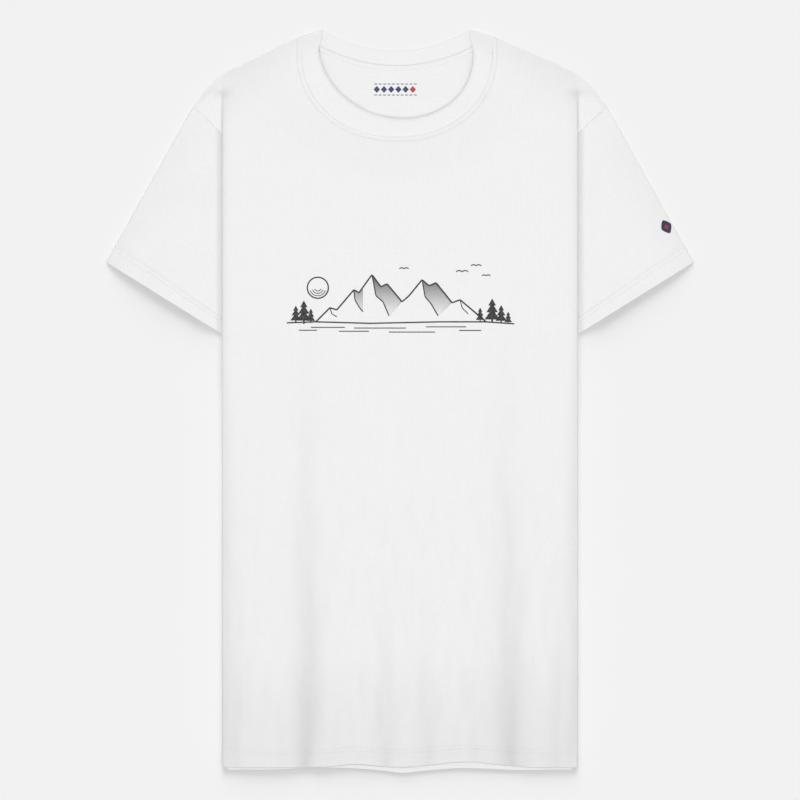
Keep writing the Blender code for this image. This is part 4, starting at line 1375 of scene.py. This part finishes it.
hem_x = np.arange(-171.0, 171.0, STITCH_PITCH)
front_rows = [stitch_row(front_point, hem_x, np.full(hem_x.shape, HEM_FRONT_Y + row), HEM_JERSEY / 2)
              for row in HEM_STITCHES]
front_stitches = add_stitches("front_hem_stitches", front_rows)
back_rows = [stitch_row(back_surface, hem_x, np.full(hem_x.shape, HEM_BACK_Y + row), -CLOTH / 2 + 0.12)
             for row in HEM_STITCHES]
back_stitches = add_stitches("back_hem_stitches", back_rows)
for name, side in SIDES:
    run = np.arange(4.0, 150.0, STITCH_PITCH)
    rows = [stitch_row(sleeve_surface(side), run, np.full(run.shape, row), -side * HEM_JERSEY / 2)
            for row in HEM_STITCHES]
    rows = [(a, b, np.abs(up) * np.sign(up[:, 2:])) for a, b, up in rows]
    add_stitches(name + "_sleeve_stitches", rows)
collar_scale = 1.0 + 2.0 * COLLAR_STITCH / (RIB_SEAM[0] + RIB_SEAM[1])
collar_x, collar_y = u_line(np.linspace(-1.0, 1.0, 400), RIB_SEAM[0] * collar_scale,
                            RIB_SEAM[1] * collar_scale, RIB_SEAM[2], RIB_POWER)
collar_row = stitch_row(front_point, *even_steps(collar_x, collar_y, STITCH_PITCH), JERSEY / 2)
collar_stitches = add_stitches("collar_stitches", [collar_row])
print("stitches", len(hem_x) * 4, "on the hems,", len(collar_row[0]), "round the collar")

# %% [markdown]
# ## Printed drawing on the chest
# Screen print leaves a thin film of ink that follows every fold of the cloth. The drawing is a plain
# line landscape: mountains with a shaded side, a low sun, pines, birds and still water. Each line is a
# narrow ribbon with its two edges computed from the line's direction, laid on the front's own surface
# 0.1 mm up. Shaded sides are filled between two lines, and their ink fades upwards into the cloth.

# %% Ink materials
def ink_material(name, hex_value, fade=None):
    """Water-based ink in the cloth: matt, a little uneven, and faded between two heights if asked."""
    material, tree = new_material(name)
    place, _, y = cloth_place(tree)
    amount = mapped(tree, noise(tree, place, 700.0, 3.0), 0.3, 0.75, 0.0, 0.12)
    if fade:
        height = mapped(tree, y, fade[0] * MM, fade[1] * MM, 0.9, 0.0)
        amount = calculate(tree, "ADD", amount, height)
    tint = mixed_colour(tree, amount, colour(hex_value), JERSEY_WHITE)
    finish_shader(tree, tint, Roughness=0.8, Specular_IOR_Level=0.3)
    return material


# %% [markdown]
# ### Shapes of the drawing
# A draughtsperson builds such a scene from a few kinds of stroke: straight runs, arcs and filled
# outlines. Each kind is one function that gives a small grid of points on the cloth, and all grids of
# one ink are joined into one mesh, because that is how one screen prints them. Corners are in
# millimetres on the pattern, and every line's weight is its width in millimetres.

# %% Lines of the drawing
PRINT_LIFT = JERSEY / 2 + 0.12
INK_FILM = 0.06


def polyline(corners, step=1.5):
    """Even points along straight runs between corners."""
    corners = np.array(corners, dtype=float)
    x, y = even_steps(corners[:, 0], corners[:, 1], step)
    return np.append(x, corners[-1, 0]), np.append(y, corners[-1, 1])


def with_points(corners, count):
    """A polyline resampled to a given number of points, evenly by corner number."""
    corners = np.array(corners, dtype=float)
    place = np.linspace(0.0, len(corners) - 1.0, count)
    return [np.interp(place, np.arange(len(corners)), corners[:, axis]) for axis in (0, 1)]


def arc(centre, radius, start, end, count=40):
    """Points of a circular arc between two angles in degrees."""
    angle = np.radians(np.linspace(start, end, count))
    return centre[0] + radius * np.cos(angle), centre[1] + radius * np.sin(angle)


def ribbon(line, width, surface, lift):
    """Two edges half a width to each side of a line, laid on a surface."""
    x, y = line
    ahead_x, ahead_y = np.gradient(x), np.gradient(y)
    size = np.maximum(np.hypot(ahead_x, ahead_y), 1e-6)
    side = np.array((0.5, -0.5)) * width
    edge_x = x[:, None] - (ahead_y / size)[:, None] * side
    edge_y = y[:, None] + (ahead_x / size)[:, None] * side
    points = surface(edge_x, edge_y)
    points[..., 2] += lift
    return points, np.stack((edge_x, edge_y), axis=-1)


def filled(upper, lower, surface, lift, rows=8):
    """Patch between an upper and a lower line with the same number of points."""
    share = np.linspace(0.0, 1.0, rows)[:, None]
    x = upper[0] * (1.0 - share) + lower[0] * share
    y = upper[1] * (1.0 - share) + lower[1] * share
    points = surface(x, y)
    points[..., 2] += lift
    return points, np.stack((x, y), axis=-1)


def joined_mesh(name, grids):
    """One mesh of many small grids, each of points and flat places, all facing up."""
    vertices, faces, uvs = [], [], []
    start = 0
    for points, flat in grids:
        rows, columns, _ = points.shape
        quads = quads_of(np.arange(rows * columns).reshape(rows, columns))[:, OTHER_WAY]
        corner = points.reshape(-1, 3)
        a, b, c = (corner[quads[:, i]] for i in (0, 1, 2))
        if np.cross(b - a, c - a)[:, 2].sum() < 0:
            quads = quads[:, ::-1]
        vertices.append(corner)
        faces.append(quads + start)
        uvs.append(flat.reshape(-1, 2)[quads].reshape(-1, 2))
        start += rows * columns
    vertices, faces, uvs = (np.concatenate(part) for part in (vertices, faces, uvs))
    return cloth_mesh(name, vertices, faces.tolist(), uvs)


def add_film(name, grids, printed_ink):
    """Printed film: the small grids of one ink as one piece, a thin coat thick."""
    film = add_piece(joined_mesh(name, grids), printed_ink)
    thicken(film, INK_FILM)
    return film


def pine(x, foot, height):
    """Solid pine tree between its two mirrored sides: three tiers and a short trunk."""
    tiers = ((0.01, 1.0), (0.16, 0.72), (0.07, 0.72), (0.24, 0.44), (0.11, 0.44), (0.32, 0.14),
             (0.04, 0.14), (0.04, 0.0))
    out, up = with_points(tiers, 43)
    right = (x + height * out, foot + height * up)
    left = (x - height * out, foot + height * up)
    return filled(right, left, front_point, PRINT_LIFT, 5)


RIDGE = ((-84, 78), (-70, 92), (-63, 90), (-46, 110), (-41, 107), (-28, 125), (-19, 113), (-13, 116),
         (2, 98), (9, 104), (22, 120), (29, 114), (36, 117), (52, 97), (60, 100), (86, 78))
SHORE = ((-113, 77), (-84, 78), (-30, 76.5), (40, 78), (86, 78), (114, 76))
SHADED = (
    (((-28, 125), (-19, 113), (-13, 116), (2, 98)), ((-28, 125), (-24, 104), (-17, 98), (-11, 84))),
    (((22, 120), (29, 114), (36, 117), (52, 97)), ((22, 120), (25, 103), (31, 96), (38, 84))),
    (((-46, 110), (-43, 108), (-41, 107), (-37, 112)), ((-46, 110), (-45, 100), (-41, 93), (-37, 88))),
)
CLEFTS = (((-70, 92), (-68, 86), (-63, 83)), ((60, 100), (62, 92), (68, 86)))

# x, foot and height of each pine
PINES = ((-104, 77, 17), (-96, 76, 23), (-89, 77, 14), (92, 77, 24), (101, 76.5, 18), (108, 76, 12),
         (80, 78, 14))
LINE_WEIGHT = 1.35
drawing = [(polyline(RIDGE), 1.1), (polyline(SHORE), 1.0)]
drawing += [(polyline(spur), 0.8) for _, spur in SHADED]
drawing += [(polyline(cleft), 0.7) for cleft in CLEFTS]
drawing += [(arc((-82, 112), 10.5, 0, 360), 1.0)]
drawing += [(arc((-82, 112), radius, 200, 340, 24), 0.6) for radius in (3.2, 5.6, 8.0)]
for bird_x, bird_y, span in ((62, 128, 6.0), (76, 134, 5.0), (86, 124, 4.2), (4, 131, 4.6)):
    drawing += [(arc((bird_x - span / 2, bird_y - span / 2), span * 0.7, 45, 135, 12), 0.8)]
    drawing += [(arc((bird_x + span / 2, bird_y - span / 2), span * 0.7, 45, 135, 12), 0.8)]
for water_x, water_y, length in ((-72, 72.5, 34), (-20, 71.8, 52), (46, 73, 40), (-46, 68.6, 30),
                                 (12, 67.8, 46), (70, 69.4, 22), (-92, 69.6, 18)):
    drawing += [(polyline(((water_x - length / 2, water_y), (water_x + length / 2, water_y))), 0.7)]
ink = ink_material("black water-based screen print ink", "#151515")
fading_ink = ink_material("fading black screen print ink", "#1c1c1c", fade=(84.0, 126.0))
line_grids = [ribbon(line, width * LINE_WEIGHT, front_point, PRINT_LIFT) for line, width in drawing]
line_grids += [pine(x, foot, height) for x, foot, height in PINES]
shade_grids = [filled(with_points(upper, 24), with_points(lower, 24), front_point, PRINT_LIFT - 0.08)
               for upper, lower in SHADED]
chest_lines = add_film("chest_print_lines", line_grids, ink)
chest_shade = add_film("chest_print_shading", shade_grids, fading_ink)
print("print of", len(drawing), "lines and", len(SHADED), "shaded sides")

# %% [markdown]
# ## Marks printed inside the neck
# Size and care marks are often printed inside the back of the neck. Here they are plain shapes: a
# row of small navy lozenges with a red one at its end, between two lines of dashes.

# %% Neck print
NECK_PRINT_X = -1.2
NECK_PRINT_Y = 310.5


def lozenge(centre, half_width, half_height):
    """Lozenge between its upper and lower outline, each a straight rise and fall."""
    x = centre[0] + np.linspace(-1.0, 1.0, 13) * half_width
    rise = (1.0 - np.abs(np.linspace(-1.0, 1.0, 13))) * half_height + 0.02
    return filled((x, centre[1] + rise), (x, centre[1] - rise), back_surface, PRINT_LIFT, 5)


navy_ink = ink_material("navy screen print ink", "#2a3163")
red_ink = ink_material("red screen print ink", "#b8283a")
lozenges = [lozenge((NECK_PRINT_X - 19.0 + 7.2 * i, NECK_PRINT_Y), 3.2, 3.4) for i in range(6)]
navy_grids, red_grids = lozenges[:5], lozenges[5:]
for row_y in (NECK_PRINT_Y + 5.4, NECK_PRINT_Y - 5.6):
    for dash_x in NECK_PRINT_X - 21.5 + 4.4 * np.arange(10):
        dash = polyline(((dash_x, row_y), (dash_x + 2.8, row_y)), 0.7)
        navy_grids.append(ribbon(dash, 0.8, back_surface, PRINT_LIFT))
neck_marks = add_film("neck_print_navy", navy_grids, navy_ink)
neck_red = add_film("neck_print_red", red_grids, red_ink)
print("neck print of", len(navy_grids), "navy and", len(red_grids), "red shapes")

# %% [markdown]

# %% [markdown]
# ## Stage
# The shirt lies on a plain pale table, a painted board with no texture to see. The camera hangs
# straight above it with a long lens, so that 0.8 m fills the frame with hardly any perspective.

# %% Stage
VIEW_WIDTH = 0.8
LENS_MM = 200.0
SENSOR_MM = 36.0
CAMERA_HEIGHT = VIEW_WIDTH * LENS_MM / SENSOR_MM
TABLE_HALF = 4.0


def plain_material(name, hex_value, roughness):
    """Painted board: one colour with a very faint unevenness in it."""
    material, tree = new_material(name)
    place = add_node(tree, "ShaderNodeTexCoord").outputs["Object"]
    tone = mapped(tree, noise(tree, place, 3.0), 0.0, 1.0, 0.998, 1.002)
    tint = mixed_colour(tree, 1.0, colour(hex_value), tone, blend_type="MULTIPLY")
    finish_shader(tree, tint, Roughness=roughness, Specular_IOR_Level=0.0)
    return material


floor_mesh = bpy.data.meshes.new("table")
floor_corners = [(x * TABLE_HALF, y * TABLE_HALF, 0) for x, y in ((-1, -1), (1, -1), (1, 1), (-1, 1))]
floor_mesh.from_pydata(floor_corners, [], [(0, 1, 2, 3)])
floor = bpy.data.objects.new("table", floor_mesh)
bpy.context.scene.collection.objects.link(floor)
floor_mesh.materials.append(plain_material("pale painted board", "#eaeaea", 0.9))

# %% [markdown]
# ## Light and camera
# In a studio, flags and screens keep one lamp off a garment and another off the table. Light linking
# does that here. The table has its own soft lamp from the neck's side, which gives the shadow below
# the hems, two weak ones from the sides and an even wash. The shirt has a broad lamp above it, which
# shades its folds, a soft fill from the hem's side and four weak low ones, which keep the cloth's
# thin edges from turning into dark outlines. Each lamp's strength is its share of the whole light.

# %% Lamps, camera and background
FLOOR_KEY = 0.265
FLOOR_SIDE = 0.045
FLOOR_DOME = 0.24
FLOOR_WASH = 0.275
SHIRT_LAMP = 0.38
SHIRT_FILL = 0.15
SHIRT_SIDE = 0.03
SHIRT_DOME = 0.22
AMBIENT = 0.13
FLOOR_RADIANCE = 1.09
SHIRT_RADIANCE = 1.115
LAMP_PLACE = (0.0, 0.12, 2.3)


def receivers(name, objects):
    """Collection of the objects that a linked lamp lights."""
    group = bpy.data.collections.new(name)
    for thing in objects:
        group.objects.link(thing)
    return group


def hang(name, lamp, group):
    """Object that carries a lamp, which lights only the things of a group."""
    thing = bpy.data.objects.new(name, lamp)
    bpy.context.scene.collection.objects.link(thing)
    thing.light_linking.receiver_collection = group
    return thing


def sun(name, tilt, width, share, group, turn=0.0):
    """Sun tilted from straight above towards the neck and turned, with a share of the light."""
    lamp = bpy.data.lights.new(name, "SUN")
    lamp.angle = math.radians(width)
    lamp.energy = share * math.pi / math.cos(math.radians(tilt))
    hang(name, lamp, group).rotation_euler = (-math.radians(tilt), 0.0, math.radians(turn))


def softbox(name, place, size, share, group):
    """Round lamp that looks straight down; power for a share of light right below it."""
    lamp = bpy.data.lights.new(name, "AREA")
    lamp.shape = "DISK"
    lamp.size = size
    lamp.energy = share * math.pi ** 2 * place[2] ** 2
    thing = hang(name, lamp, group)
    thing.location = place
    thing.visible_camera = False


table_group = receivers("lit table", [floor])
shirt_group = receivers("lit shirt", ALL_PIECES)
sun("table key", 65.0, 40.0, FLOOR_KEY * FLOOR_RADIANCE, table_group)
for turn in (90.0, 270.0):
    sun("table side", 48.0, 44.0, FLOOR_SIDE * FLOOR_RADIANCE, table_group, turn)
sun("table wash", 0.0, 1.0, FLOOR_WASH * FLOOR_RADIANCE, table_group)
sun("table dome", 0.0, 120.0, FLOOR_DOME * FLOOR_RADIANCE, table_group)
softbox("shirt lamp", LAMP_PLACE, 0.5, SHIRT_LAMP * SHIRT_RADIANCE, shirt_group)
sun("shirt fill", -30.0, 40.0, SHIRT_FILL * SHIRT_RADIANCE, shirt_group)
sun("shirt dome", 0.0, 120.0, SHIRT_DOME * SHIRT_RADIANCE, shirt_group)
for turn in (0.0, 90.0, 180.0, 270.0):
    sun("shirt side", 70.0, 50.0, SHIRT_SIDE * SHIRT_RADIANCE, shirt_group, turn)

world = bpy.data.worlds.new("studio")
bpy.context.scene.world = world
world.use_nodes = True
tree = world.node_tree
faint = tree.nodes["Background"]
faint.inputs["Color"].default_value = (1.0, 1.0, 1.0, 1.0)
faint.inputs["Strength"].default_value = AMBIENT
pale = add_node(tree, "ShaderNodeBackground", inputs={"Color": colour("#f2f2f2")})
path = add_node(tree, "ShaderNodeLightPath")
seen = add_node(tree, "ShaderNodeMixShader", {0: path.outputs["Is Camera Ray"], 1: faint.outputs[0],
                                              2: pale.outputs[0]})
tree.links.new(seen.outputs[0], tree.nodes["World Output"].inputs["Surface"])

camera_data = bpy.data.cameras.new("camera")
camera_data.lens = LENS_MM
camera_data.sensor_width = SENSOR_MM
camera_data.clip_end = 50.0
camera = bpy.data.objects.new("camera", camera_data)
camera.location = (0.0, 0.0, CAMERA_HEIGHT)
bpy.context.scene.collection.objects.link(camera)
bpy.context.scene.camera = camera
bpy.context.scene.view_settings.view_transform = "Standard"

# %% [markdown]
# ## Finish
# The view layer is brought up to date once every piece is in place.

# %% Finish
bpy.context.view_layer.update()
